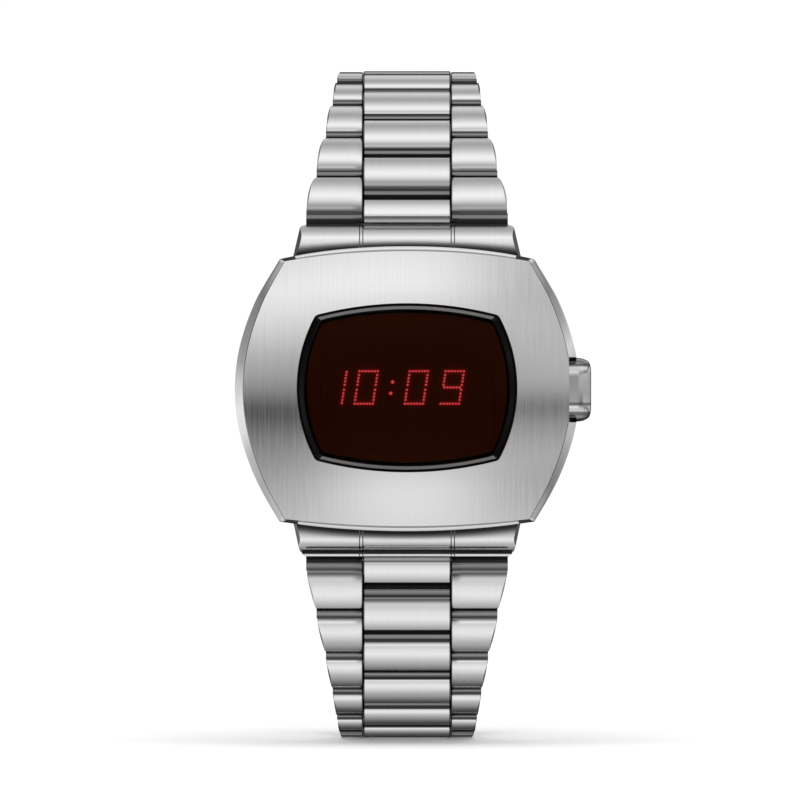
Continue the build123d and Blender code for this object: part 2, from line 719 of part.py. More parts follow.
with BuildPart() as clasp_cover:
    s0 = AXIS_C - 1.0
    with BuildSketch(cs):
        with BuildLine():
            Polyline((s0, COVER_IN), (s0, COVER_OUT - 0.35), (s0 + 0.35, COVER_OUT), (CL - 0.6, COVER_OUT))
            ThreePointArc((CL - 0.6, COVER_OUT), (CL + 0.9, 1.75), (CL + 1.5, 0.2))
            ThreePointArc((CL + 1.5, 0.2), (CL + 1.06, -1.06), (CL, -KR))
            Polyline((CL, -KR), (s0 + 0.9, -KR), (s0, -0.6), (s0, COVER_IN))
        make_face()
    extrude(amount=COVER_HALF, both=True)
    outer_edges = [e for e in clasp_cover.edges() if abs(e.center().X) > COVER_HALF - 0.01
                   and e.length > 20 and e.center().Y > TOP[-1][0] + 2]
    chamfer(outer_edges, 0.45)
    # channel under the plate
    with BuildSketch(cs):
        with BuildLine():
            Polyline((s0 - 1, -3), (AXIS_B + 1.0, -3), (AXIS_B + 1.0, COVER_IN), (s0 - 1, COVER_IN), close=True)
        make_face()
    extrude(amount=COVER_HALF - COVER_WALL, both=True, mode=Mode.SUBTRACT)
    # fork for the last centre link
    with BuildSketch(cs):
        with BuildLine():
            Polyline((AXIS_B - 1, -3), (CL + 4, -3), (CL + 4, 4), (AXIS_B + 1.0, 4), (AXIS_B + 1.0, COVER_IN - 0.4),
                     (AXIS_B - 1, COVER_IN - 0.4), close=True)
        make_face()
    extrude(amount=OUTER_IN, both=True, mode=Mode.SUBTRACT)
    # adjustment holes and pin holes in the side walls
    with BuildSketch(cs):
        with Locations((CL, 0), (CL - 2.4, 0), (CL - 4.8 + 0.9, 0)):
            Circle(TIP_R + 0.06)
    extrude(amount=COVER_HALF + 1, both=True, mode=Mode.SUBTRACT)
    with BuildSketch(cs):
        with Locations((AXIS_C, AXIS_C_N)):
            Circle(0.45 + FIX_FIT)
    extrude(amount=COVER_HALF + 1, both=True, mode=Mode.SUBTRACT)
clasp_cover.part.label = "clasp_cover"

with BuildPart() as clasp_cover_pin:
    with BuildSketch(cs):
        with Locations((AXIS_C, AXIS_C_N)):
            Circle(0.45)
    extrude(amount=COVER_HALF - 0.1, both=True)
clasp_cover_pin.part.label = "clasp_cover_pin"

with BuildPart() as clasp_spring_bar:
    with BuildSketch(side_plane(BOT[-1], 180.0, 1)):
        Circle(PIN_R)
    extrude(amount=5.1, both=True)
clasp_spring_bar.part.label = "clasp_spring_bar"

for body in (case_shell, crystal, crystal_gasket, display_mask, led_substrate, led_digits, circuit_board,
             ic_chip, quartz_can, module_holder, battery, battery_clip, case_back, case_back_gasket,
             case_back_screws, push_button, button_clip, button_o_ring, button_spring,
             clasp_blade_inner, clasp_end_pin, clasp_blade_pin, clasp_blade_middle, clasp_cover,
             clasp_cover_pin, clasp_spring_bar):
    export_step(body.part, "parts/" + body.part.label + ".step")
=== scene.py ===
import math

import bmesh
import bpy
import numpy as np
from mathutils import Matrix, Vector


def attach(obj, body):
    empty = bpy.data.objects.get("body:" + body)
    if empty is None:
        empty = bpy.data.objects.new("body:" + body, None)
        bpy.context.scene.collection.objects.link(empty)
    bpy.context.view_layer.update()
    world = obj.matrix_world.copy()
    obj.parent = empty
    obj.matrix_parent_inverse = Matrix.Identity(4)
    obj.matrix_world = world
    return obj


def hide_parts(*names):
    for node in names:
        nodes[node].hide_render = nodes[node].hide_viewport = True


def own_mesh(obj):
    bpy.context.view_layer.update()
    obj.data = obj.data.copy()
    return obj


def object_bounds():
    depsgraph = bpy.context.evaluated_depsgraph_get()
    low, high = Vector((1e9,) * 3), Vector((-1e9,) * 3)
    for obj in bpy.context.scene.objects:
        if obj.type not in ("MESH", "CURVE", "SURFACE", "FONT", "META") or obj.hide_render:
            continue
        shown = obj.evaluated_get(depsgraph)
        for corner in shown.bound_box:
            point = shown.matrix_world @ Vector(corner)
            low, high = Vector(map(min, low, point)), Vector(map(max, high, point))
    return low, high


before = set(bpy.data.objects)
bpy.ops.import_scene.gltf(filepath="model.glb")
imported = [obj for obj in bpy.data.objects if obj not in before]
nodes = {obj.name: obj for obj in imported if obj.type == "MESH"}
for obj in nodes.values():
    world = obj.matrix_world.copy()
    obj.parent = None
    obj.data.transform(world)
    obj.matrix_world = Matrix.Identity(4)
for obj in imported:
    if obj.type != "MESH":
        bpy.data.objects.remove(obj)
cad_box = [[float(c) for c in v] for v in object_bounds()]
MM = 0.001

# ------------------------------------------------------------------ sizes in mm
FACE_Y, FACE_RX, FACE_RZ = -12.95, 90.0, 60.0
CASE_SIDE = [(15.1, 15.78), (17.28, 11.9), (19.0, 7.9), (20.05, 4.0), (20.4, 0.0),
             (20.05, -4.0), (19.0, -7.9), (17.28, -11.9), (15.1, -15.78)]
CASE_APEX_Z = 17.0
CASE_BACK_Y = -1.2
WIN_CORNER = (10.8, 8.55)
WIN_APEX = (13.0, 9.95)
WIN_Z = 0.23
SEAT_Y, GASKET_T = -11.25, 0.18
SB_Y, SB_Z, P, KR = -6.3, 15.14, 6.4, 1.5
TOP_TILT = [30.575, 39.091, 46.054, 56.410, 68.669, 87.627, 107.166, 126.118, 144.318, 162.140]
BOT_TILT = [20.657, 31.169, 42.036, 51.367, 63.605, 75.923, 97.127, 119.498, 139.827, 156.504, 169.463]
EDGE_W = [24.4, 21.95, 19.75, 18.15, 17.15, 16.5, 16.15, 16.0, 16.0, 16.0, 16.0, 16.0]
CENTRE_HALF, CENTRE_SIDE, OUTER_IN = 5.17, 5.235, 5.25
OUTER_REACH, CENTRE_REACH = (3.30, 2.90), (3.06, 2.45)     # far and near reach from a link's middle
CROWN, END_FAR = 1.87, 4.63
END_W0, END_W1 = 27.8, 25.1
BTN_Y, BTN_LEN, BTN_H = -8.15, 7.56, 4.5
BTN_X0, BTN_X1, BTN_LIP_X, BTN_TRAVEL = 19.0, 21.82, 19.2, 0.35


# ------------------------------------------------------------------ materials
def material(name, base, metallic=0.0, rough=0.4, **more):
    m = bpy.data.materials.new(name)
    m.use_nodes = True
    b = m.node_tree.nodes["Principled BSDF"]
    b.inputs["Base Color"].default_value = (*base, 1.0)
    b.inputs["Metallic"].default_value = metallic
    b.inputs["Roughness"].default_value = rough
    for k, v in more.items():
        b.inputs[k.replace("_", " ")].default_value = v
    return m


def node(m, kind, **props):
    n = m.node_tree.nodes.new(kind)
    for k, v in props.items():
        setattr(n, k, v)
    return n


def link(m, a, b):
    m.node_tree.links.new(a, b)


def brushed(m, scale, rough, spread, bump, aniso, tone=0.05, distance=0.00002, detail=3.0):
    """Fine scratches along v, from stretched noise on the surface's own (u, v)."""
    b = m.node_tree.nodes["Principled BSDF"]
    uv = node(m, "ShaderNodeTexCoord")
    mp = node(m, "ShaderNodeMapping")
    mp.inputs["Scale"].default_value = scale
    link(m, uv.outputs["UV"], mp.inputs["Vector"])
    nz = node(m, "ShaderNodeTexNoise")
    nz.inputs["Scale"].default_value = 1.0
    nz.inputs["Detail"].default_value = detail
    nz.inputs["Roughness"].default_value = 0.65
    link(m, mp.outputs["Vector"], nz.inputs["Vector"])
    rr = node(m, "ShaderNodeMapRange")
    rr.inputs["From Min"].default_value = 0.25
    rr.inputs["From Max"].default_value = 0.75
    rr.inputs["To Min"].default_value = rough - spread
    rr.inputs["To Max"].default_value = rough + spread
    link(m, nz.outputs["Fac"], rr.inputs["Value"])
    link(m, rr.outputs["Result"], b.inputs["Roughness"])
    base = b.inputs["Base Color"].default_value[:]
    cr = node(m, "ShaderNodeMix", data_type="RGBA")
    cr.inputs["A"].default_value = (base[0] * (1 - tone), base[1] * (1 - tone), base[2] * (1 - tone), 1)
    cr.inputs["B"].default_value = (min(1, base[0] * (1 + tone)), min(1, base[1] * (1 + tone)), min(1, base[2] * (1 + tone)), 1)
    cl = node(m, "ShaderNodeMapRange")
    cl.inputs["From Min"].default_value = 0.3
    cl.inputs["From Max"].default_value = 0.7
    link(m, nz.outputs["Fac"], cl.inputs["Value"])
    link(m, cl.outputs["Result"], cr.inputs["Factor"])
    link(m, cr.outputs["Result"], b.inputs["Base Color"])
    bp = node(m, "ShaderNodeBump")
    bp.inputs["Strength"].default_value = bump
    bp.inputs["Distance"].default_value = distance
    link(m, nz.outputs["Fac"], bp.inputs["Height"])
    link(m, bp.outputs["Normal"], b.inputs["Normal"])
    if aniso:
        b.inputs["Anisotropic"].default_value = aniso
        tg = node(m, "ShaderNodeTangent", direction_type="UV_MAP")
        link(m, tg.outputs["Tangent"], b.inputs["Tangent"])
    return m


STEEL = (0.80, 0.80, 0.80)
m_face = brushed(material("case_brushed", STEEL, 1.0, 0.18), (5200.0, 110.0, 1.0), 0.185, 0.04, 0.12, 0.75, tone=0.05)
m_polish = brushed(material("case_polished", STEEL, 1.0, 0.1), (900.0, 900.0, 1.0), 0.11, 0.02, 0.02, 0.0, tone=0.01)
m_corner = brushed(material("case_corner_shade", (0.05, 0.05, 0.05), 1.0, 0.2), (900.0, 900.0, 1.0), 0.2, 0.03, 0.02, 0.0, tone=0.02)
# painted shade: darker steel for the dark inner line of the case bevel
m_line = brushed(material("case_bevel_painted_shade_line", (0.30, 0.30, 0.30), 1.0, 0.14), (900.0, 900.0, 1.0), 0.14, 0.02, 0.02, 0.0, tone=0.01)
m_wall = brushed(material("case_wall", STEEL, 1.0, 0.22), (700.0, 5000.0, 1.0), 0.22, 0.05, 0.1, 0.0, tone=0.03)
m_link = brushed(material("satin_link_painted_shade", STEEL, 1.0, 0.16), (5600.0, 260.0, 1.0), 0.16, 0.03, 0.07, 0.45, tone=0.025)


def paint_shade_ramp(m, stops):
    """Painted shade and highlight along each link: a colour ramp over the 'along' attribute from lip (0) over the step
    (0.5) to the far edge (1), plus painted shade at grazing angles.
    """
    b = m.node_tree.nodes["Principled BSDF"]
    at = node(m, "ShaderNodeAttribute", attribute_name="along", attribute_type="GEOMETRY")
    rp = node(m, "ShaderNodeValToRGB")
    el = rp.color_ramp.elements
    while len(el) > 1:
        el.remove(el[-1])
    for i, (pos, v) in enumerate(stops):
        e = el[0] if i == 0 else el.new(pos)
        e.position = pos
        e.color = (v, v, v, 1)
    link(m, at.outputs["Fac"], rp.inputs["Fac"])
    mul = node(m, "ShaderNodeMix", data_type="RGBA", blend_type="MULTIPLY")
    mul.inputs["Factor"].default_value = 1.0
    prev = b.inputs["Base Color"].links[0].from_socket
    link(m, prev, mul.inputs["A"])
    link(m, rp.outputs["Color"], mul.inputs["B"])
    link(m, mul.outputs["Result"], b.inputs["Base Color"])
    grazing(m, 0.70, 0.79, 0.03)
    return m


def grazing(m, lo, hi, low):
    """Painted shade: base colour falls to `low` where the surface turns away from the eye."""
    b = m.node_tree.nodes["Principled BSDF"]
    lw = node(m, "ShaderNodeLayerWeight")
    lw.inputs["Blend"].default_value = 0.5
    mr = node(m, "ShaderNodeMapRange")
    mr.inputs["From Min"].default_value = lo
    mr.inputs["From Max"].default_value = hi
    mr.inputs["To Min"].default_value = 1.0
    mr.inputs["To Max"].default_value = low
    link(m, lw.outputs["Facing"], mr.inputs["Value"])
    mul = node(m, "ShaderNodeMix", data_type="RGBA", blend_type="MULTIPLY")
    mul.inputs["Factor"].default_value = 1.0
    prev = b.inputs["Base Color"].links[0].from_socket
    link(m, prev, mul.inputs["A"])
    link(m, mr.outputs["Result"], mul.inputs["B"])
    link(m, mul.outputs["Result"], b.inputs["Base Color"])
    mt = node(m, "ShaderNodeMapRange")
    mt.inputs["From Min"].default_value = lo
    mt.inputs["From Max"].default_value = hi
    mt.inputs["To Min"].default_value = 1.0
    mt.inputs["To Max"].default_value = 0.0
    link(m, lw.outputs["Facing"], mt.inputs["Value"])
    link(m, mt.outputs["Result"], b.inputs["Metallic"])
    b.inputs["Specular IOR Level"].default_value = 0.0


# painted shade: the lip, groove and step below each crown are darkened in the base colour, with a lighter painted line
# on the lip; the crown keeps full colour
PAINTED_SHADE = [(0.00, .16), (0.02, .28), (0.06, .34), (0.12, .28), (0.17, .20), (0.21, .10), (0.235, .10), (0.25, .20), (0.265, .22),
        (0.285, .12), (0.30, .16), (0.33, .30), (0.36, .42), (0.40, .60), (0.44, .82), (0.50, 1.0), (1.0, 1.0)]
paint_shade_ramp(m_link, PAINTED_SHADE)
# painted contact shadow: the end link's base colour darkens towards the case's end edge
m_end = paint_shade_ramp(brushed(material("satin_end_link_painted_contact_shade", STEEL, 1.0, 0.2), (5600.0, 260.0, 1.0), 0.2, 0.035, 0.07, 0.45, tone=0.025),
              [(0.0, .02), (0.05, .05), (0.11, .14), (0.16, .28), (0.20, .45), (0.25, .70), (0.31, .92), (0.38, 1.0), (1.0, 1.0)])
# painted shade: near-black stands in for the shade in the gaps and hollow ends between links
m_shade = brushed(material("link_gap_painted_shade", (0.03, 0.03, 0.03), 0.6, 0.4), (900.0, 900.0, 1.0), 0.4, 0.05, 0.02, 0.0, tone=0.05)
# painted shade: darker copies of the steel for the dark lines at link sides, grooves and rims
m_seam = brushed(material("link_seam_painted_shade", (0.13, 0.13, 0.13), 1.0, 0.2), (900.0, 900.0, 1.0), 0.2, 0.03, 0.02, 0.0, tone=0.02)
m_rim = brushed(material("link_rim_painted_shade", (0.24, 0.24, 0.24), 1.0, 0.2), (900.0, 900.0, 1.0), 0.2, 0.03, 0.02, 0.0, tone=0.02)
m_link_side = brushed(material("link_side", STEEL, 1.0, 0.16), (2500.0, 2500.0, 1.0), 0.17, 0.03, 0.04, 0.0, tone=0.02)
# painted highlights and shade: light and dark bands across the button by height
m_button_painted_bands = paint_shade_ramp(brushed(material("button_steel_painted_bands", (0.84, 0.84, 0.84), 1.0, 0.12), (1800.0, 1800.0, 1.0), 0.13, 0.02, 0.02, 0.0, tone=0.01),
                 [(0.0, .15), (0.03, .45), (0.085, .40), (0.10, .14), (0.12, .14), (0.15, .80), (0.19, 1.0), (0.24, .62), (0.30, .95),
                  (0.69, 1.0), (0.715, .28), (0.738, .28), (0.765, .90), (0.83, .80), (0.855, .18), (0.895, .18), (0.92, .55),
                  (0.95, .45), (0.97, .06), (1.0, .03)])
m_spring = material("spring_steel_plain", (0.6, 0.6, 0.6), 1.0, 0.3)
m_dark_gap = material("window_seal", (0.004, 0.004, 0.004), 0.0, 0.7)
m_rubber = material("rubber_plain", (0.02, 0.02, 0.02), 0.0, 0.6)
m_board = material("board", (0.03, 0.14, 0.07), 0.0, 0.35)
m_plastic = material("plastic_black", (0.015, 0.015, 0.015), 0.0, 0.5)
m_cell = material("battery_can", (0.72, 0.72, 0.7), 1.0, 0.25)

m_glass = material("window_glass_red", (0.5, 0.27, 0.22), 0.0, 0.015, IOR=1.1, Transmission_Weight=1.0)
m_glass_edge = material("window_glass_edge", (0.25, 0.235, 0.235), 1.0, 0.16)
# painted shade: near-black glass for the sides of the crystal's bevel
m_glass_side = material("window_glass_side_painted_shade", (0.002, 0.001, 0.001), 0.0, 0.1, IOR=1.18)
m_mask = material("mask_black_painted_glow", (0.001, 0.001, 0.001), 0.0, 0.6, Specular_IOR_Level=0.0)
m_led = material("led_dots", (0.5, 0.02, 0.02), 0.0, 0.4)
b = m_led.node_tree.nodes["Principled BSDF"]
b.inputs["Emission Color"].default_value = (0.74, 0.11, 0.145, 1.0)
b.inputs["Emission Strength"].default_value = 1.35
# painted glow: the black mask gets a faint red emission
b = m_mask.node_tree.nodes["Principled BSDF"]
b.inputs["Emission Color"].default_value = (0.023, 0.0045, 0.0, 1.0)
b.inputs["Emission Strength"].default_value = 1.0

m_glow = material("display_glow", (0.001, 0.001, 0.001), 0.0, 0.6, Specular_IOR_Level=0.0)
at = node(m_glow, "ShaderNodeAttribute", attribute_name="glow", attribute_type="GEOMETRY")
b = m_glow.node_tree.nodes["Principled BSDF"]
link(m_glow, at.outputs["Color"], b.inputs["Emission Color"])
b.inputs["Emission Strength"].default_value = 1.0


# ------------------------------------------------------------------ mesh helpers
def build(name, verts, faces, mats, body, replaced=(), angle=28.0, face_mat=None, uv=None, fix=True, along=None):
    me = bpy.data.meshes.new(name)
    me.from_pydata([(v[0] * MM, max(v[1] * MM, cad_box[0][1]), max(v[2] * MM, cad_box[0][2])) for v in verts], [], faces)
    for m in mats:
        me.materials.append(m)
    if face_mat is not None:
        me.polygons.foreach_set("material_index", face_mat)
    layer = me.uv_layers.new(name="UVMap")
    if uv is not None:
        idx = np.zeros(len(me.loops), dtype=np.int32)
        me.loops.foreach_get("vertex_index", idx)
        layer.data.foreach_set("uv", (np.array(uv, dtype=np.float32) * MM)[idx].ravel())
    if fix:
        bm = bmesh.new()
        bm.from_mesh(me)
        bmesh.ops.recalc_face_normals(bm, faces=bm.faces)
        bm.to_mesh(me)
        bm.free()
    me.shade_smooth()
    me.set_sharp_from_angle(angle=math.radians(angle))
    if along is not None:
        me.attributes.new("along", "FLOAT", "POINT").data.foreach_set("value", np.array(along, dtype=np.float32))
    ob = bpy.data.objects.new(name, me)
    bpy.context.scene.collection.objects.link(ob)
    if body:
        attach(ob, body)
    if replaced:
        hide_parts(*replaced)
    return ob


def ring_faces(nring, n, start=0, cap0=True, cap1=True):
    faces = []
    for i in range(nring - 1):
        for j in range(n):
            a, c = start + i * n + j, start + i * n + (j + 1) % n
            faces.append((a, c, c + n, a + n))
    if cap0:
        faces.append(tuple(start + j for j in reversed(range(n))))
    if cap1:
        faces.append(tuple(start + (nring - 1) * n + j for j in range(n)))
    return faces


def circ(cx, cy, r, a0, a1, n):
    return [(cx + r * math.cos(math.radians(a0 + (a1 - a0) * i / n)), cy + r * math.sin(math.radians(a0 + (a1 - a0) * i / n)))
            for i in range(n + 1)]


def arc3(p0, p1, p2, n):
    (ax, ay), (bx, by), (cx, cy) = p0, p1, p2
    d = 2 * (ax * (by - cy) + bx * (cy - ay) + cx * (ay - by))
    ux = ((ax * ax + ay * ay) * (by - cy) + (bx * bx + by * by) * (cy - ay) + (cx * cx + cy * cy) * (ay - by)) / d
    uy = ((ax * ax + ay * ay) * (cx - bx) + (bx * bx + by * by) * (ax - cx) + (cx * cx + cy * cy) * (bx - ax)) / d
    r = math.hypot(ax - ux, ay - uy)
    a0, a1, a2 = (math.atan2(y - uy, x - ux) for x, y in (p0, p1, p2))
    while a1 - a0 > math.pi: a1 -= 2 * math.pi
    while a1 - a0 < -math.pi: a1 += 2 * math.pi
    while a2 - a1 > math.pi: a2 -= 2 * math.pi
    while a2 - a1 < -math.pi: a2 += 2 * math.pi
    return [(ux + r * math.cos(a0 + (a2 - a0) * i / n), uy + r * math.sin(a0 + (a2 - a0) * i / n)) for i in range(n + 1)]


def chain(tilts, sign):
    y, z = SB_Y, sign * SB_Z
    out = [(y, z)]
    for t in tilts:
        y += P * math.sin(math.radians(t))
        z += sign * P * math.cos(math.radians(t))
        out.append((y, z))
    return out


TOP, BOT = chain(TOP_TILT, 1), chain(BOT_TILT, -1)


def placer(point, tilt, sign):
    """(x, s, n) of a link to the row frame."""
    t = math.radians(tilt)
    sy, sz, ny, nz = math.sin(t), sign * math.cos(t), -math.cos(t), sign * math.sin(t)
    return lambda x, s, n: (x, point[0] + s * sy + n * ny, point[1] + s * sz + n * nz)


def inset_loop(loop, d):
    """Loop moved inwards by d along its point normals."""
    q = np.array(loop, float)
    area = 0.5 * np.sum(q[:, 0] * np.roll(q[:, 1], -1) - np.roll(q[:, 0], -1) * q[:, 1])
    e = np.roll(q, -1, 0) - q
    e /= np.linalg.norm(e, axis=1)[:, None]
    nn = np.stack([e[:, 1], -e[:, 0]], 1) * (1 if area > 0 else -1)      # outward
    v = nn + np.roll(nn, 1, 0)
    ln = np.linalg.norm(v, axis=1)[:, None]
    v = v / ln
    cosine = np.clip(np.sum(v * nn, 1), 0.45, 1)[:, None]
    return q - v * d / cosine


# ------------------------------------------------------------------ links
# lean of a link's domed top, in degrees outward, against how far along the dome it is
LEAN = [(0.0, -48), (0.024, -40), (0.052, -33), (0.09, -26), (0.146, -19), (0.24, -12), (0.352, -6), (0.464, 0), (0.69, 9),
        (0.84, 15), (1.0, 22)]


def dome(s0, s1, apex, lean, n):
    """Points of a domed top from s0 to s1 whose surface leans by `lean` along it."""
    u = np.linspace(0, 1, n)
    phi = np.interp(u, [a for a, _ in lean], [v for _, v in lean])
    s = s0 + (s1 - s0) * u
    h = np.zeros(n)
    for i in range(1, n):
        h[i] = h[i - 1] - math.tan(math.radians((phi[i] + phi[i - 1]) / 2)) * (s[i] - s[i - 1])
    h += apex - h.max()
    return list(zip(s.tolist(), h.tolist()))


def link_loop(c, reach, step=0.72):
    """Side outline of a link and where each point lies along it (0 lip, 0.3 step, 1 far edge)."""
    far, near = reach
    a, b = c - P / 4, c + P / 4
    lip, bulge = c - near, max(near - 1.43, 1.25)
    top = dome(lip + step, c + far - 0.14, CROWN, LEAN, 44)
    g = step - 0.72
    h0, h1 = top[0][1], top[-1][1]
    pts = arc3((a, -KR), (a - bulge, -0.3), (lip, 0.90), 12)
    pts += [(lip + 0.015, 0.96), (lip + 0.06, 1.03), (lip + 0.14, 1.09), (lip + 0.28, 1.125), (lip + 0.44 + g, 1.135),
            (lip + 0.58 + g, 1.125), (lip + 0.65 + g, 1.10), (lip + 0.69 + g, min(1.12, h0 - 0.02))]
    pts += top
    pts += [(c + far - 0.07, h1 - 0.045), (c + far - 0.02, h1 - 0.10), (c + far, h1 - 0.18)]
    pts += arc3((b + 1.40, 0.53), (b + 1.27, -0.80), (b, -KR), 12)[:-1]
    out, tone = [], []
    for i, p in enumerate(pts):
        if out and math.hypot(p[0] - out[-1][0], p[1] - out[-1][1]) < 0.015:
            continue
        out.append(p)
        if p[1] < 0.2:
            tone.append(0.04)
        elif p[0] < lip + step:
            tone.append(max(0.0, 0.3 * (p[0] - lip) / step))
        else:
            tone.append(min(1.0, 0.3 + 0.7 * (p[0] - lip - step) / (c + far - lip - step)))
    return out, tone


def segment_mats(loop, rings, top_mat=0, low=0.85):
    """Material of each segment of a link outline: satin top, plain underside, painted shade (near-black) on the hollow
    ends between links.
    """
    n = len(loop)
    row = []
    for j in range(n):
        h0, h1 = loop[j][1], loop[(j + 1) % n][1]
        mean = (h0 + h1) / 2
        row.append(1 if mean < -1.35 else (3 if min(h0, h1) < low else top_mat))
    return row * rings


def centre_link(verts, faces, uv, mats, along, put, c, step):
    loop, tone = link_loop(c, CENTRE_REACH, step)
    n = len(loop)
    ed = 0.13
    stations = [(-CENTRE_SIDE, 0.26), (-CENTRE_HALF + 0.02, 0.06), (-CENTRE_HALF + ed, 0.0),
                (-3.4, 0), (-1.7, 0), (0, 0), (1.7, 0), (3.4, 0),
                (CENTRE_HALF - ed, 0.0), (CENTRE_HALF - 0.02, 0.06), (CENTRE_SIDE, 0.26)]
    start = len(verts)
    for x, d in stations:
        for s, h in (inset_loop(loop, d) if d else loop):
            verts.append(put(x, s, h))
            uv.append((x, s if h > -1 else -s))
        along += tone
    fs = ring_faces(len(stations), n, start)
    faces += fs
    m = segment_mats(loop, len(stations) - 1)
    # painted shade: the side bands are near-black and darkened steel, for the dark lines between centre and outer links
    m[:n] = [3] * n
    m[n:2 * n] = [5] * n
    m[-2 * n:-n] = [5] * n
    m[-n:] = [3] * n
    mats += m + [3, 3]


def outer_link(verts, faces, uv, mats, along, put, c, w0, w1, side, step, curve):
    reach = OUTER_REACH
    loop, tone = link_loop(c, reach, step)
    n = len(loop)
    ed, fac_x, fac_n = 0.13, 0.20, 0.30
    start = len(verts)
    top = CROWN
    lip, tip = c - reach[1] + step, c + reach[0]

    def h_at(s):
        """Half width: even along the lip, then rounding in towards the far corner."""
        if s < lip:
            return w0 / 2 - 0.24
        u = min(1.0, (s - lip) / (tip - lip))
        return w0 / 2 - 0.34 - (w0 / 2 - 0.34 - (w1 / 2 - 0.20)) * u ** curve

    def ring(kind, u):
        rows = []
        src = inset_loop(loop, u) if kind == "in" and u else loop
        for (s, h), (s0, h0) in zip(src, loop):
            w = h_at(s0)
            drop = max(0.0, h0 - (top - fac_n))
            if kind == "in":
                x = OUTER_IN + u2
            elif kind == "mid":
                x = OUTER_IN + ed + (w - drop * fac_x / fac_n - 0.07 - OUTER_IN - ed) * u
            elif kind == "brink":
                x = w - drop * fac_x / fac_n - 0.02
            else:
                x = w - 0.16 * max(0.0, min(1.0, (-0.4 - h0) / 1.1))
                h = min(h0, top - fac_n)
            rows.append((side * x, s, h))
        return rows

    plan = []
    for u2, d in ((0.0, ed), (0.04, ed * 0.30), (ed, 0.0)):
        plan.append(ring("in", d))
    for u in (0.25, 0.5, 0.75, 1.0):
        plan.append(ring("mid", u))
    plan.append(ring("brink", 0))
    rim = ring("rim", 0)
    plan.append([(x - side * 0.03, s, h + 0.02 if h >= top - fac_n - 0.001 else h) for x, s, h in rim])
    plan.append(rim)
    close = []
    cen = np.mean([(s, h) for _, s, h in rim], axis=0)
    for x, s, h in rim:
        close.append((x + side * 0.0, s + (cen[0] - s) * 0.03, h + (cen[1] - h) * 0.05))
    plan.append([(x, s, h) for x, s, h in close])
    for r in plan:
        for x, s, h in r:
            verts.append(put(x, s, h))
            uv.append((x, s if h > -1 else -s))
        along += tone
    fs = ring_faces(len(plan), n, start)
    faces += fs
    m = segment_mats(loop, len(plan) - 1)
    # painted shade: the inner side bands are near-black and darkened steel, and the strip at the outer rim is darkened
    # steel
    m[:n] = [3] * n
    m[n:2 * n] = [5] * n
    for i in range((len(plan) - 3) * n, (len(plan) - 2) * n):
        m[i] = 4
    for i in range((len(plan) - 2) * n, (len(plan) - 1) * n):
        m[i] = 1
    mats += m + [3, 1]


def rod(verts, faces, uv, mats, along, put, s, half, r=0.5, n=24):
    """Pin across the row; its ends are slightly rounded."""
    start = len(verts)
    for x, rr in ((-half, r - 0.07), (-half + 0.05, r - 0.015), (-half + 0.1, r), (half - 0.1, r), (half - 0.05, r - 0.015), (half, r - 0.07)):
        for j in range(n):
            a = 2 * math.pi * j / n
            verts.append(put(x, s + rr * math.cos(a), rr * math.sin(a)))
            uv.append((x, s + a))
            along.append(0.04)
    fs = ring_faces(6, n, start)
    faces += fs
    mats += [1] * len(fs)


def row(name, body, replaced, point, tilt, sign, w0, w1):
    put = placer(point, tilt, sign)
    verts, faces, uv, mats, along = [], [], [], [], []
    step, curve = (0.72, 2.9) if sign > 0 else (0.95, 1.4)
    centre_link(verts, faces, uv, mats, along, put, 3 * P / 4, step)
    outer_link(verts, faces, uv, mats, along, put, P / 4, w0, w1, 1, step, curve)
    outer_link(verts, faces, uv, mats, along, put, P / 4, w0, w1, -1, step, curve)
    h0 = w0 / 2 - 0.25 * (w0 - w1) / 2
    rod(verts, faces, uv, mats, along, put, 0.0, h0 - 0.36)
    # the shade at the foot of each crown fades out on the steeper rows
    q = max(0.0, min(1.0, (tilt - 40) / 16 if sign > 0 else (tilt - 30) / 12))
    along = [a if a < 0.305 else min(1.0, a + 0.17 * q) for a in along]
    return build(name, verts, faces, [m_link, m_link_side, m_end, m_shade, m_rim, m_seam], body, (replaced,), face_mat=mats,
                 uv=uv, along=along)


for k in range(1, len(TOP_TILT)):
    row("top_links_%d" % k, "top_%d" % k, "top_row_%d" % k, TOP[k], TOP_TILT[k], 1, EDGE_W[k - 1], EDGE_W[k])
for k in range(1, len(BOT_TILT)):
    row("bottom_links_%d" % k, "bottom_%d" % k, "bottom_row_%d" % k, BOT[k], BOT_TILT[k], -1, EDGE_W[k - 1], EDGE_W[k])


# ------------------------------------------------------------------ end links
_h = CASE_APEX_Z - CASE_SIDE[0][1]
ARC_R = (CASE_SIDE[0][0] ** 2 + _h ** 2) / (2 * _h)          # radius of the case's end edge


END_LEAN = {1: [(0.0, 0), (0.11, 3), (0.16, 5.4), (0.21, 9.4), (0.26, 13), (0.317, 14.7), (0.372, 16.4), (0.43, 19.4), (0.49, 21.4),
                (0.55, 23.4), (0.617, 24.6), (0.68, 26), (0.75, 27), (0.817, 30), (0.87, 32), (0.92, 29), (1.0, 24)],
            -1: [(0.0, 4), (0.16, 12.3), (0.22, 18.3), (0.28, 21.3), (0.34, 23.8), (0.40, 27.3), (0.47, 28.8), (0.53, 31.3),
                 (0.60, 33.6), (0.67, 35.3), (0.74, 39.3), (0.81, 42.3), (0.88, 44), (1.0, 45)]}


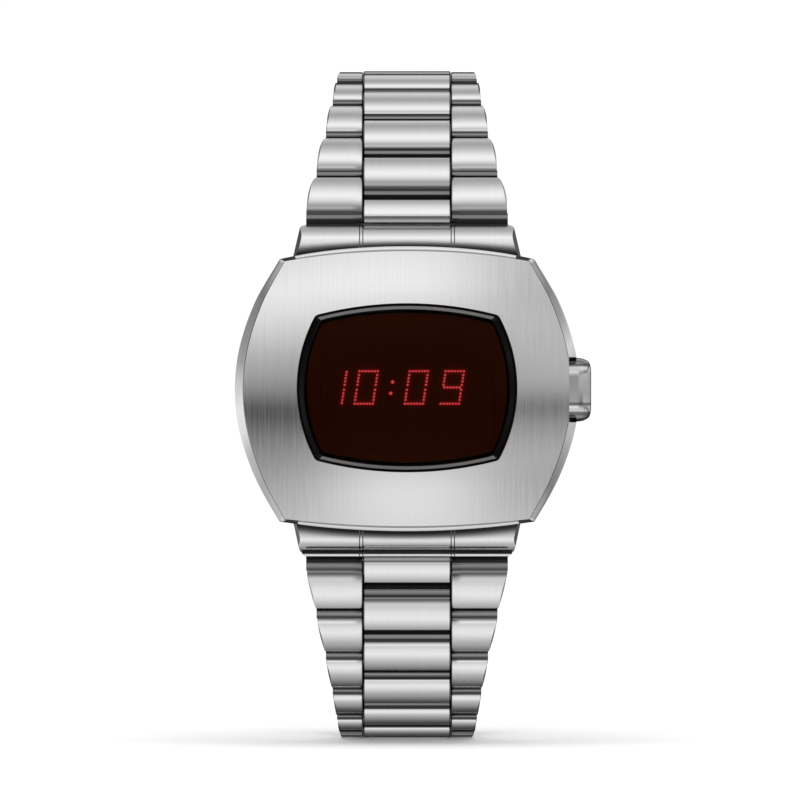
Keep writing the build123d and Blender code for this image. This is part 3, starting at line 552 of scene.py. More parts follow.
def end_link(name, body, replaced, point, tilt, sign):
    put = placer(point, tilt, sign)
    verts, faces, uv, mats, along = [], [], [], [], []
    # shoulders: the tube round the spring bar and the plate over it
    loop = circ(0, 0, 1.6, 250, 92, 16)
    top = dome(1.8, 4.86, 1.82, END_LEAN[1], 30) if sign > 0 else dome(1.8, 4.28, 1.70, END_LEAN[-1], 30)
    loop += [(0.12 * i, 1.6 + (top[0][1] - 1.6) * math.sin(math.pi / 2 * min(1.0, 0.12 * i / 1.6))) for i in range(1, 15)]
    if sign > 0:
        h1 = top[-1][1]
        loop += top
        loop += [(4.905, h1 - 0.06), (4.93, h1 - 0.14)]
        loop += arc3((4.62, 0.30), (4.47, -0.80), (3.4, -1.48), 8)
    else:
        h1 = top[-1][1]
        loop += top
        loop += [(4.31, h1 - 0.01), (4.36, h1 + 0.02), (4.39, 0.62), (4.44, 0.73), (4.50, 0.77), (4.62, 0.77), (4.70, 0.72), (4.74, 0.60)]
        loop += arc3((4.62, 0.30), (4.47, -0.80), (3.4, -1.48), 8)
    dark_at = (4.30, 4.37) if sign < 0 else (9.0, 9.0)
    loop += [(3.2, -KR), (1.6, -1.55)]
    n = len(loop)
    edge_arc = lambda x: math.sqrt(max(0.0, ARC_R ** 2 - x * x)) - ARC_R + CASE_APEX_Z

    # painted contact shadow: 0 at the case's end edge, rising to 1 at the end link's far end
    def painted_shade_at(x, s, h):
        if h < 0.2:
            return 0.0
        z, zf = abs(put(x, s, h)[2]), abs(put(x, END_FAR, 1.0)[2])
        z0 = edge_arc(x)
        return min(1.0, max(0.0, (z - z0) / (zf - z0)))

    half = lambda s: min(13.58, (END_W0 + (END_W1 - END_W0) * (s + 2.0) / 6.8) / 2)
    fac_x, fac_n, top = 0.38, 0.42, 1.66
    groove = [5.15, 5.17, 5.18, 5.29, 5.30, 5.56, 5.57, 5.68, 5.69]
    depth = [0, 0, 0.06, 0.06, 0, 0, 0.06, 0.06, 0]

    def ring_at(x, drop):
        r = []
        for s, h in loop:
            r.append((x, s, h - drop if h > 0.75 and s > 0.2 else h))
        return r

    plan = []
    xs = []
    for u in (0.0, 0.25, 0.5, 0.75, 1.0):
        xs.append(("mid", u))
    right = [("g", gx, gd) for gx, gd in zip(groove, depth)]
    rings = [("g", x, 0) for x in (0.0, 2.6)] + right

    def side_rings(side):
        out = []
        for _, x, d in rings:
            out.append([(side * x, s, h) for x2, s, h in ring_at(x, d)])
        for u in (0.2, 0.45, 0.7, 1.0):
            r = []
            for s, h in loop:
                w = half(s)
                # rounded far corner
                cut = 0.55 * max(0.0, (s - 4.0) / 0.65) ** 2 if s > 4.0 else 0.0
                drop = max(0.0, h - (top - fac_n))
                edge = w - cut - drop * fac_x / fac_n - 0.02
                r.append((side * (5.72 + (edge - 5.72) * u), s, h))
            out.append(r)
        r = []
        for s, h in loop:
            w = half(s)
            cut = 0.55 * max(0.0, (s - 4.0) / 0.65) ** 2 if s > 4.0 else 0.0
            r.append((side * (w - cut), s, min(h, top - fac_n)))
        out.append(r)
        return out

    r_side = side_rings(1)
    l_side = side_rings(-1)[1:]
    plan = list(reversed(l_side)) + r_side
    start = 0
    for r in plan:
        for x, s, h in r:
            verts.append(put(x, s, h))
            uv.append((x, s))
            along.append(painted_shade_at(x, s, h))
    fs = ring_faces(len(plan), n, start)
    faces += fs
    m = segment_mats(loop, len(plan) - 1, 2, 0.25)
    # painted shade: the groove walls and the outermost side strips are darkened steel, and a strip at the far end of
    # the lower end link is near-black
    for i, ra in enumerate(plan[:-1]):
        xa, xb = abs(ra[0][0]), abs(plan[i + 1][0][0])
        for j in range(n):
            s0, s1 = loop[j][0], loop[(j + 1) % n][0]
            if m[i * n + j] == 2 and (0.1 < abs(xa - xb) < 0.115 and max(xa, xb) < 5.7):
                m[i * n + j] = 5
            if m[i * n + j] in (2, 3) and min(s0, s1) > 4.27 and loop[j][1] > 0.25 and sign < 0:
                m[i * n + j] = 3 if max(s0, s1) <= 4.40 else 2
    for i in list(range(n)) + list(range((len(plan) - 2) * n, (len(plan) - 1) * n)):
        m[i] = 4
    mats += m + [1, 1]
    # centre tongue
    c = 4.8
    bb = c + P / 4
    far = CENTRE_REACH[0]
    t_far = c + far + 0.12
    if sign > 0:
        td = dome(5.30, t_far - 0.14, 1.74, [(0.0, 0), (0.2, 6), (0.5, 12), (0.8, 20), (1.0, 25)], 18)
        tl = [(3.6, -1.4), (3.6, 0.3), (4.90, 0.40), (4.95, 0.70), (4.98, 0.96), (5.01, 1.12), (5.06, 1.27), (5.12, 1.41), (5.18, 1.54),
              (5.22, 1.61), (5.26, 1.64)]
    else:
        td = dome(5.02, t_far - 0.14, 1.72, [(0.0, -6), (0.3, 10), (0.55, 18), (0.8, 25), (1.0, 30)], 18)
        tl = [(3.6, -1.4), (3.6, 0.3), (4.66, 0.40), (4.72, 0.66), (4.76, 0.92), (4.80, 1.10), (4.85, 1.28), (4.90, 1.42), (4.94, 1.50),
              (4.97, 1.55), (5.00, 1.60)]
    t1 = td[-1][1]
    tl += td
    tl += [(t_far - 0.07, t1 - 0.045), (t_far - 0.02, t1 - 0.10), (t_far, t1 - 0.18)]
    tl += arc3((bb + 1.40, 0.53), (bb + 1.27, -0.80), (bb, -KR), 12)
    n2 = len(tl)
    step = td[0][0]
    # painted shade: places of the tongue's points on the links' painted shade ramp, dark at its step
    tone = []
    for s, h in tl:
        if h < 0.5:
            tone.append(0.10)
        elif s < step - 0.09:
            tone.append(0.40 if h > 0.7 else 0.30)
        elif s < step - 0.01:
            tone.append(0.318)
        else:
            tone.append(0.40 + 0.60 * min(1.0, (s - step) / (c + far - step)))
    ed = 0.13
    st = [(-CENTRE_SIDE, 0.26), (-CENTRE_HALF + 0.02, 0.06), (-CENTRE_HALF + ed, 0), (-2.5, 0), (0, 0), (2.5, 0),
          (CENTRE_HALF - ed, 0), (CENTRE_HALF - 0.02, 0.06), (CENTRE_SIDE, 0.26)]
    start = len(verts)
    for x, d in st:
        for s, h in (inset_loop(tl, d) if d else tl):
            verts.append(put(x, s, h))
            uv.append((x, s))
        along += tone
    fs = ring_faces(len(st), n2, start)
    faces += fs
    m = segment_mats(tl, len(st) - 1, 0, 0.42)
    # painted shade: the tongue's side bands are dark as on the centre links
    m[:n2] = [3] * n2
    m[n2:2 * n2] = [5] * n2
    m[-2 * n2:-n2] = [5] * n2
    m[-n2:] = [3] * n2
    mats += m + [3, 3]
    return build(name, verts, faces, [m_link, m_link_side, m_end, m_shade, m_rim, m_seam], body, (replaced,), face_mat=mats, uv=uv, along=along)


end_link("top_end_piece", "top_end", "end_link_top", TOP[0], TOP_TILT[0], 1)
end_link("bottom_end_piece", "bottom_end", "end_link_bottom", BOT[0], BOT_TILT[0], -1)


# ------------------------------------------------------------------ case
def spline(pts, m):
    """Natural cubic spline through pts, sampled at m + 1 even steps of its chord length."""
    q = np.array(pts, float)
    t = np.concatenate([[0], np.cumsum(np.linalg.norm(np.diff(q, axis=0), axis=1))])
    h = np.diff(t)
    k = len(t)
    A = np.zeros((k, k))
    rhs = np.zeros((k, 2))
    A[0, 0] = A[-1, -1] = 1
    for i in range(1, k - 1):
        A[i, i - 1], A[i, i], A[i, i + 1] = h[i - 1], 2 * (h[i - 1] + h[i]), h[i]
        rhs[i] = 6 * ((q[i + 1] - q[i]) / h[i] - (q[i] - q[i - 1]) / h[i - 1])
    M = np.linalg.solve(A, rhs)
    out = []
    for u in np.linspace(0, t[-1], m + 1):
        i = min(k - 2, max(0, int(np.searchsorted(t, u, side="right") - 1)))
        a, b = (t[i + 1] - u), (u - t[i])
        out.append(M[i] * a ** 3 / (6 * h[i]) + M[i + 1] * b ** 3 / (6 * h[i])
                   + (q[i] / h[i] - M[i] * h[i] / 6) * a + (q[i + 1] / h[i] - M[i + 1] * h[i] / 6) * b)
    return np.array(out)


NS, NE = 96, 84


def quad_outline(side_right, end_top):
    """Closed outline, counter-clockwise in (x, z): right side up, top end, left side down, bottom end."""
    r = side_right                                   # bottom right to top right
    t = end_top                                      # top right to top left
    return np.concatenate([r[:-1], t[:-1], (r * [-1, 1])[::-1][:-1], (t * [1, -1])[::-1][:-1]])


def normals_of(curve, corner=True):
    d = np.gradient(curve, axis=0)
    d /= np.linalg.norm(d, axis=1)[:, None]
    return np.stack([d[:, 1], -d[:, 0]], 1)


def torus_y(x, z, lift=0.0):
    yx = FACE_Y + FACE_RX - np.sqrt(FACE_RX ** 2 - x ** 2)
    # the generating arc is turned about an axis FACE_RZ behind the apex
    rad = FACE_RZ - (yx - FACE_Y)
    return FACE_Y + FACE_RZ - np.sqrt(rad ** 2 - z ** 2) - lift


side = spline([p for p in reversed(CASE_SIDE)], NS)
end = np.array(arc3(CASE_SIDE[0], (0.0, CASE_APEX_Z), (-CASE_SIDE[0][0], CASE_SIDE[0][1]), NE))
ns, ne = normals_of(side), normals_of(end)


def case_ring(ws, we):
    """Outline moved inwards by ws(t) on the sides and we(t) on the ends, t from 0 to 1 along each."""
    ts, te = np.linspace(0, 1, NS + 1), np.linspace(0, 1, NE + 1)
    a = side - ns * np.array([ws(t) for t in ts])[:, None]
    e = end - ne * np.array([we(t) for t in te])[:, None]
    # corner where both moved curves meet
    p0, d0 = a[-1], side[-1] - side[-2]
    p1, d1 = e[0], end[1] - end[0]
    m = np.array([[d0[0], -d1[0]], [d0[1], -d1[1]]])
    k = np.linalg.solve(m, p1 - p0)
    corner = p0 + d0 * k[0]
    ca, ce = corner - a[-1], corner - e[0]
    fade_s = np.clip(1 - (1 - ts) / 0.08, 0, 1)
    a = a + ca * fade_s[:, None] + (ca * [1, -1]) * fade_s[::-1][:, None]
    fade_e = np.clip(1 - te / 0.08, 0, 1)
    e = e + ce * fade_e[:, None] + (ce * [-1, 1]) * fade_e[::-1][:, None]
    q = quad_outline(a, e)
    w = np.clip((np.abs(q[:, 1]) - 11.0) / 4.0, 0, 1)
    edge = np.abs(q[:, 0]) / 15.1
    d = np.where(q[:, 1] > 0, -0.30 * edge ** 3, 0.25 - 0.10 * edge ** 2)
    return np.stack([q[:, 0], q[:, 1] + w * d], 1)


win_side = np.array(arc3((WIN_CORNER[0], -WIN_CORNER[1]), (WIN_APEX[0], 0.0), WIN_CORNER, NS))
win_end = np.array(arc3(WIN_CORNER, (0.0, WIN_APEX[1]), (-WIN_CORNER[0], WIN_CORNER[1]), NE))
wns, wne = normals_of(win_side), normals_of(win_end)


def win_ring(d, round_corner=0.0, de=None):
    """Window outline moved inwards by d on the sides and de on the ends."""
    a = win_side - wns * d
    e = win_end - wne * (d if de is None else de)
    p0, d0 = a[-1], win_side[-1] - win_side[-2]
    p1, d1 = e[0], win_end[1] - win_end[0]
    k = np.linalg.solve(np.array([[d0[0], -d1[0]], [d0[1], -d1[1]]]), p1 - p0)
    corner = p0 + d0 * k[0]
    ca, ce = corner - a[-1], corner - e[0]
    ts, te = np.linspace(0, 1, NS + 1), np.linspace(0, 1, NE + 1)
    fs = np.clip(1 - (1 - ts) / 0.10, 0, 1)
    a = a + ca * fs[:, None] + (ca * [1, -1]) * fs[::-1][:, None]
    f2 = np.clip(1 - te / 0.10, 0, 1)
    e = e + ce * f2[:, None] + (ce * [-1, 1]) * f2[::-1][:, None]
    q = quad_outline(a, e)
    if round_corner:
        for _ in range(int(round_corner)):
            q = (np.roll(q, 1, 0) + 2 * q + np.roll(q, -1, 0)) / 4
    return q + [0.0, WIN_Z]


def rounded_rect(hx, hz, r, like):
    """Rounded rectangle sampled at the polar angles of another outline."""
    out = []
    for x, z in like:
        a = math.atan2(z, x)
        ca, sa = abs(math.cos(a)), abs(math.sin(a))
        t = min(hx / max(ca, 1e-9), hz / max(sa, 1e-9))
        px, pz = t * ca, t * sa
        if px > hx - r and pz > hz - r:
            # meet the corner circle
            cx, cz = hx - r, hz - r
            B = -(cx * ca + cz * sa)
            C = cx * cx + cz * cz - r * r
            t = -B + math.sqrt(max(0, B * B - C))
            px, pz = t * ca, t * sa
        out.append((math.copysign(px, x), math.copysign(pz, z)))
    return np.array(out)


W_SIDE = lambda t: 0.70 + 0.34 * math.sin(math.pi * t)
W_END = lambda t: 0.40 + 0.20 * (1 - abs(2 * t - 1) ** 2.2)
zero = lambda t: 0.0
outline0 = case_ring(zero, zero)
bevel_in = case_ring(W_SIDE, W_END)
N = len(outline0)
bevel_w = np.linalg.norm(bevel_in - outline0, axis=1)
is_side = np.zeros(N, bool)
is_side[:NS + 1] = True
is_side[NS + NE:2 * NS + NE + 1] = True
win0 = win_ring(0.0, 2)

rings, tags = [], []


def add_ring(q, y, tag):
    yy = y if hasattr(y, "__len__") else np.full(len(q), y)
    rings.append(np.stack([q[:, 0], yy, q[:, 1]], 1))
    tags.append(tag)


y_in = torus_y(bevel_in[:, 0], bevel_in[:, 1])
y_out = torus_y(outline0[:, 0], outline0[:, 1]) + bevel_w * np.where(is_side, 0.80, 0.56)
line_at = np.where(is_side, 0.90, 0.62)[:, None]          # where the bevel's inner line starts
cav = rounded_rect(14.2, 11.3, 5.0, outline0)
back_in = case_ring(lambda t: 0.9, lambda t: 0.9)
add_ring(cav, -9.3, 2)                                    # cavity roof edge
add_ring(cav, CASE_BACK_Y, 2)
add_ring(back_in, CASE_BACK_Y, 2)
add_ring(case_ring(lambda t: 0.06, lambda t: 0.06), CASE_BACK_Y - 0.84, 3)
add_ring(outline0, CASE_BACK_Y - 0.95, 3)
for u in (0.3, 0.6, 0.9):
    add_ring(outline0, (CASE_BACK_Y - 0.95) * (1 - u) + y_out * u, 3)
add_ring(outline0, y_out + 0.10, 3)
add_ring(case_ring(lambda t: 0.05, lambda t: 0.03), y_out + 0.0, 1)
for u in (0.5, 0.97, 1.0):
    q = outline0 + (bevel_in - outline0) * u * line_at
    add_ring(q, y_out + (y_in - y_out) * u * line_at[:, 0], 1)
add_ring(bevel_in, y_in, 5)
face_start = len(rings) - 1
steps = 18
for i in range(1, steps):
    u = i / steps
    q = bevel_in + (win0 - bevel_in) * u
    add_ring(q, torus_y(q[:, 0], q[:, 1]), 0)
rim = win_ring(-0.06, 2)
add_ring(rim, torus_y(rim[:, 0], rim[:, 1]), 0)
add_ring(win0, torus_y(win0[:, 0], win0[:, 1]) + 0.07, 4)
add_ring(win0, SEAT_Y, 4)
ledge = win_ring(1.1, 2)
add_ring(ledge, SEAT_Y, 4)
add_ring(ledge, -9.3, 4)

verts = np.concatenate(rings)
faces = ring_faces(len(rings), N, 0, cap0=False, cap1=False)
# close the cavity roof between the ledge and the cavity walls
last = (len(rings) - 1) * N
faces += [(last + j, last + (j + 1) % N, (j + 1) % N, j) for j in range(N)]
fm = []
for i in range(len(rings) - 1):
    row_mat = [{0: 0, 1: 1, 2: 2, 3: 2, 4: 3, 5: 4}[tags[i + 1]]] * N
    if tags[i + 1] in (1, 5):
        # painted shade: the end bevel turns dark beyond the end link
        for j in range(N):
            if not is_side[j] and abs(outline0[j, 0]) > 13.0:
                row_mat[j] = 5
    fm += row_mat
fm += [2] * N
case_mats = [m_face, m_polish, m_wall, m_dark_gap, m_line, m_corner]
uv = [(p[0], p[2]) for p in verts]
case = build("case_steel_shell", verts.tolist(), faces, case_mats, None, face_mat=fm, uv=uv)


def cutter_prism(name, outline, lo, hi, axis):
    """Closed prism of a 2D outline along x or y."""
    n = len(outline)
    vs = []
    for d in (lo, hi):
        for a, c in outline:
            vs.append((a, d, c) if axis == "y" else (d, a, c))
    fs = ring_faces(2, n)
    ob = build(name, vs, fs, [m_wall], None)
    return ob


def stadium(cy, length, height, n=24):
    """Slot along z, (y, z) points."""
    r = height / 2
    h = length / 2 - r
    pts = [(cy + r * math.cos(math.radians(a)), h + r * math.sin(math.radians(a))) for a in np.linspace(0, 180, n)]
    pts += [(cy + r * math.cos(math.radians(a)), -h + r * math.sin(math.radians(a))) for a in np.linspace(180, 360, n)]
    return pts


cutters = []
for s in (1, -1):
    z0, z1 = s * 13.35, s * 20.0
    cutters.append(cutter_prism("cut_hood_%d" % (s + 1), [(-13.7, z0), (13.7, z0), (13.7, z1), (-13.7, z1)], -8.9, 0.5, "y"))
cutters.append(cutter_prism("cut_button", stadium(BTN_Y, BTN_LEN + 0.2, BTN_H + 0.2), BTN_X0 - BTN_TRAVEL - 0.1, 26.0, "x"))
cutters.append(cutter_prism("cut_notch", [(BTN_LIP_X, -(BTN_LEN + 0.2) / 2), (26, -(BTN_LEN + 0.2) / 2),
                                          (26, (BTN_LEN + 0.2) / 2), (BTN_LIP_X, (BTN_LEN + 0.2) / 2)], -16.0, -8.5, "y"))
cutters.append(cutter_prism("cut_stem", [(BTN_Y + 0.85 * math.cos(a), 0.85 * math.sin(a)) for a in np.linspace(0, 2 * math.pi, 33)[:-1]],
                            13.0, 19.0, "x"))
cutters.append(cutter_prism("cut_spring", [(BTN_Y + 1.6 * math.cos(a), 1.6 * math.sin(a)) for a in np.linspace(0, 2 * math.pi, 41)[:-1]],
                            16.2, 19.0, "x"))
for c in cutters:
    mod = case.modifiers.new("cut", "BOOLEAN")
    mod.object = c
    mod.operation = "DIFFERENCE"
    mod.solver = "EXACT"
bpy.context.view_layer.update()
dg = bpy.context.evaluated_depsgraph_get()
cut_mesh = bpy.data.meshes.new_from_object(case.evaluated_get(dg), preserve_all_data_layers=True, depsgraph=dg)
case.modifiers.clear()
case.data = cut_mesh
case.data.name = "case_steel_shell"
for c in cutters:
    bpy.data.objects.remove(c)
case.data.shade_smooth()
case.data.set_sharp_from_angle(angle=math.radians(22))
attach(case, "case")
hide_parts("case_shell")

# ------------------------------------------------------------------ crystal
GAP, EDGE_S, EDGE_E, RISE = 0.13, 0.62, 0.50, 0.35
c_out, c_in = win_ring(GAP, 3), win_ring(GAP + EDGE_S, 3, GAP + EDGE_E)
c_line = win_ring(GAP + EDGE_S + 0.12, 3, GAP + EDGE_E + 0.09)
MID = np.array([0.0, WIN_Z])
rings = []
base_y = SEAT_Y - GASKET_T
y_top_in = torus_y(c_in[:, 0], c_in[:, 1], RISE)
y_top_out = torus_y(c_out[:, 0], c_out[:, 1], RISE) + 0.50


def ring3(q, y):
    yy = y if hasattr(y, "__len__") else np.full(len(q), y)
    return np.stack([q[:, 0], yy, q[:, 1]], 1)


rings.append(ring3(MID + (c_out - MID) * 0.001, base_y))
rings.append(ring3(c_out, base_y))
rings.append(ring3(c_out, y_top_out))
rings.append(ring3(c_in, y_top_in))
rings.append(ring3(c_line, torus_y(c_line[:, 0], c_line[:, 1], RISE)))
for u in (0.93, 0.85, 0.75, 0.62, 0.48, 0.34, 0.2, 0.08, 0.001):
    q = MID + (c_line - MID) * u
    rings.append(ring3(q, torus_y(q[:, 0], q[:, 1], RISE)))
verts = np.concatenate(rings)
faces = ring_faces(len(rings), N, 0, True, True)
fm = [0] * len(faces)
# painted shade: the sides of the crystal's bevel and the thin ring inside it are near-black, the ends of the bevel grey
for i in range(N, 3 * N):
    fm[i] = 2 if is_side[i % N] else 1
for i in range(3 * N, 4 * N):
    fm[i] = 2
build("window_crystal", verts.tolist(), faces, [m_glass, m_glass_edge, m_glass_side], "case", ("crystal",),
      face_mat=fm, uv=[(p[0], p[2]) for p in verts], angle=25)

# ------------------------------------------------------------------ display
DOT_R, DOT_X, SLANT, DOT_Z0, ROW_H = 0.138, 0.361, math.tan(math.radians(8.7)), 0.27, 1.92
DOTS = []


def dot(x, z):
    DOTS.append((x + (z - DOT_Z0) * SLANT, z))


UP, DN = [0.30, 0.71, 1.09, 1.47], [-0.28, -0.71, -1.08, -1.47]
X1, X2, X3, X4, DW = -7.49, -5.90, 0.03, 4.27, 6 * DOT_X
for z in [1.83] + UP + DN + [-1.85]:
    dot(X1 + 0.08, DOT_Z0 + z)
for xd in (X2, X3):
    for i in range(7):
        dot(xd + i * DOT_X, DOT_Z0 + ROW_H)
        dot(xd + i * DOT_X, DOT_Z0 - ROW_H)
    for z in UP + DN:
        dot(xd, DOT_Z0 + z)
        dot(xd + DW, DOT_Z0 + z)
for i in range(7):
    dot(X4 + i * DOT_X, DOT_Z0 + ROW_H)
    dot(X4 + i * DOT_X, DOT_Z0 - ROW_H)
for i in range(6):
    dot(X4 + DOT_X * (i + 0.4), DOT_Z0)
for z in UP:
    dot(X4, DOT_Z0 + z)
for z in UP + DN:
    dot(X4 + DW, DOT_Z0 + z)
COLON = [(-1.70, 0.91), (-1.93, -0.42)]

dverts, dfaces = [], []
for x, z, r in [(x, z, DOT_R) for x, z in DOTS] + [(x, z, DOT_R * 1.45) for x, z in COLON]:
    start = len(dverts)
    for rr, y in ((r, -10.525), (r, -10.56), (r * 0.82, -10.588), (r * 0.45, -10.598)):
        for j in range(14):
            a = 2 * math.pi * j / 14
            dverts.append((x + rr * math.cos(a), y, z + rr * math.sin(a)))
    dfaces += ring_faces(4, 14, start)
build("led_dots", dverts, dfaces, [m_led], "case", ("led_digits",), angle=60)

gx, gz = 205, 135
hx, hz = 10.2, 6.7
gv, gf, glow = [], [], []
pts = np.array(DOTS + COLON)
for j in range(gz + 1):
    for i in range(gx + 1):
        x, z = -hx + 2 * hx * i / gx, -hz + 2 * hz * j / gz
        gv.append((x, -10.52, z))
        d2 = (pts[:, 0] - x) ** 2 + (pts[:, 1] - z) ** 2
        near = float(np.sum(np.exp(-d2 / (2 * 0.24 ** 2))))
        far = float(np.sum(np.exp(-d2 / (2 * 0.8 ** 2))))
        glow.append((0.0205 + 0.05 * near + 0.0006 * far, 0.0045 + 0.002 * near, 0.003 * near, 1.0))
for j in range(gz):
    for i in range(gx):
        a = j * (gx + 1) + i
        gf.append((a, a + 1, a + gx + 2, a + gx + 1))
k0 = len(gv)
border = [j for j in range(gx + 1)] + [(j + 1) * (gx + 1) - 1 for j in range(1, gz + 1)] \
    + [gz * (gx + 1) + i for i in range(gx - 1, -1, -1)] + [j * (gx + 1) for j in range(gz - 1, 0, -1)]
for v in border:
    gv.append((gv[v][0], -9.32, gv[v][2]))
    glow.append((0.0, 0.0, 0.0, 1.0))
nb = len(border)
for j in range(nb):
    gf.append((border[j], border[(j + 1) % nb], k0 + (j + 1) % nb, k0 + j))
gf.append(tuple(k0 + j for j in range(nb)))
plate = build("led_plate", gv, gf, [m_glow], "case", ("led_substrate",), angle=40)
ca = plate.data.color_attributes.new("glow", "FLOAT_COLOR", "POINT")
ca.data.foreach_set("color", np.array(glow, dtype=np.float32).ravel())

# ------------------------------------------------------------------ push button
def stadium_ring(x, inset, n=28):
    ln, ht = BTN_LEN - 2 * inset, BTN_H - 2 * inset
    return [(x, y, z) for y, z in stadium(BTN_Y, ln, ht, n)]


prof = [(BTN_X0, 0.0), (BTN_X0 + 0.8, 0.0), (20.1, 0.0), (20.25, 0.005), (20.45, 0.025), (20.7, 0.07), (20.92, 0.125), (21.0, 0.17),
        (21.07, 0.20), (21.2, 0.25), (21.35, 0.33), (21.5, 0.45), (21.6, 0.58), (21.69, 0.78), (21.75, 1.02), (21.79, 1.32),
        (21.81, 1.70), (BTN_X1, 2.1)]
bv, bf = [], []
for x, ins in prof:
    bv += stadium_ring(x, ins)
n = 56
bf = ring_faces(len(prof), n)
start = len(bv)
for x, r in ((13.3, 0.7), (13.38, 0.8), (13.5, 0.8), (13.5, 0.56), (13.84, 0.56), (13.84, 0.8), (19.3, 0.8)):
    for j in range(32):
        a = 2 * math.pi * j / 32
        bv.append((x, BTN_Y + r * math.cos(a), r * math.sin(a)))
bf += ring_faces(7, 32, start)
BTN_HIGH = max(p[2] for p in bv)
# painted bands: the ramp position follows the height across the button
build("button_cap", bv, bf, [m_button_painted_bands], "button", ("push_button",), uv=[(p[1], p[2]) for p in bv], angle=35,
      along=[min(1.0, max(0.0, 0.5 - p[2] / (2 * BTN_HIGH))) for p in bv])

# ------------------------------------------------------------------ CAD pieces that stay
finish_of = {
    "case_back": m_wall, "case_back_screws": m_cell, "crystal_gasket": m_dark_gap, "display_mask": m_mask,
    "circuit_board": m_board, "ic_chip": m_plastic, "quartz_can": m_cell, "module_holder": m_plastic, "battery": m_cell,
    "battery_clip": m_spring, "case_back_gasket": m_rubber, "spring_bar_top": m_spring, "spring_bar_bottom": m_spring,
    "button_o_ring": m_rubber, "button_spring": m_spring, "button_clip": m_spring, "clasp_spring_bar": m_spring,
    "clasp_blade_inner": m_link_side, "clasp_end_pin": m_spring, "clasp_blade_pin": m_spring,
    "clasp_blade_middle": m_link_side, "clasp_cover": m_link_side, "clasp_cover_pin": m_spring}
for name, m in finish_of.items():
    me = nodes[name].data
    me.materials.clear()
    me.materials.append(m)

# a copy of the button's spring, carried by the case body
me = nodes["button_spring"].data.copy()
me.transform(nodes["button_spring"].matrix_world)
coil = bpy.data.objects.new("button_coil", me)
bpy.context.scene.collection.objects.link(coil)
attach(coil, "case")
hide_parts("button_spring")
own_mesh(coil)

# ------------------------------------------------------------------ floor, light, camera
FLOOR_Z = cad_box[0][2] - 0.00002
lamp = bpy.data.lights.new("overhead_softbox", "AREA")
lamp.shape = "RECTANGLE"
lamp.size, lamp.size_y = 0.5, 0.5
lamp.energy = 2.15
softbox = bpy.data.objects.new("overhead_softbox", lamp)
softbox.location = (0.0, -0.02, 0.55)
softbox.visible_glossy = False
softbox.visible_camera = False
bpy.context.scene.collection.objects.link(softbox)
fl = bpy.data.meshes.new("floor")
FLOOR_Y, FALL = 0.019, math.tan(math.radians(1.34))        # the floor falls gently towards the front
FRONT, BACK, SIDE = -0.8, 0.09, 0.8
fl.from_pydata([(-SIDE, FRONT, FLOOR_Z + (FRONT - FLOOR_Y) * FALL), (SIDE, FRONT, FLOOR_Z + (FRONT - FLOOR_Y) * FALL),
                (SIDE, BACK, FLOOR_Z + (BACK - FLOOR_Y) * FALL), (-SIDE, BACK, FLOOR_Z + (BACK - FLOOR_Y) * FALL)], [], [(0, 1, 2, 3)])
floor = bpy.data.objects.new("floor", fl)
bpy.context.scene.collection.objects.link(floor)
m_floor = material("floor_pale", (0.97, 0.97, 0.97), 0.0, 0.9, Specular_IOR_Level=0.0)
b = m_floor.node_tree.nodes["Principled BSDF"]
b.inputs["Emission Color"].default_value = (1, 1, 1, 1)
b.inputs["Emission Strength"].default_value = 0.0
fl.materials.append(m_floor)
floor.visible_glossy = False

world = bpy.data.worlds.new("studio")
bpy.context.scene.world = world
world.use_nodes = True
nt = world.node_tree
nt.nodes.clear()
out = nt.nodes.new("ShaderNodeOutputWorld")
tc = nt.nodes.new("ShaderNodeTexCoord")
sep = nt.nodes.new("ShaderNodeSeparateXYZ")
nt.links.new(tc.outputs["Generated"], sep.inputs[0])
neg = nt.nodes.new("ShaderNodeMath")
neg.operation = "MULTIPLY"
neg.inputs[1].default_value = -1.0
nt.links.new(sep.outputs["Y"], neg.inputs[0])
ata = nt.nodes.new("ShaderNodeMath")
ata.operation = "ARCTAN2"
nt.links.new(sep.outputs["Z"], ata.inputs[0])
nt.links.new(neg.outputs[0], ata.inputs[1])
mr = nt.nodes.new("ShaderNodeMapRange")
mr.inputs["From Min"].default_value = -math.pi
mr.inputs["From Max"].default_value = math.pi
nt.links.new(ata.outputs[0], mr.inputs["Value"])


def lamp_ramp(stops, lo, hi):
    """Brightness against an angle or a height, as a colour ramp over lo..hi."""
    r = nt.nodes.new("ShaderNodeValToRGB")
    el = r.color_ramp.elements
    while len(el) > 1:
        el.remove(el[-1])
    for i, (at, v) in enumerate(sorted(stops)):
        pos = (at - lo) / (hi - lo)
        e = el[0] if i == 0 else el.new(pos)
        e.position = pos
        e.color = (v, v, v, 1)
    return r


def weight(source, lo, hi):
    """0 below lo, 1 above hi, smooth between."""
    n = nt.nodes.new("ShaderNodeMapRange")
    n.interpolation_type = "SMOOTHSTEP"
    n.inputs["From Min"].default_value = lo
    n.inputs["From Max"].default_value = hi
    nt.links.new(source, n.inputs["Value"])
    return n.outputs["Result"]


def blend(a, b, w):
    n = nt.nodes.new("ShaderNodeMix")
    n.data_type = "RGBA"
    nt.links.new(a, n.inputs["A"])
    nt.links.new(b, n.inputs["B"])
    nt.links.new(w, n.inputs["Factor"])
    return n.outputs["Result"]


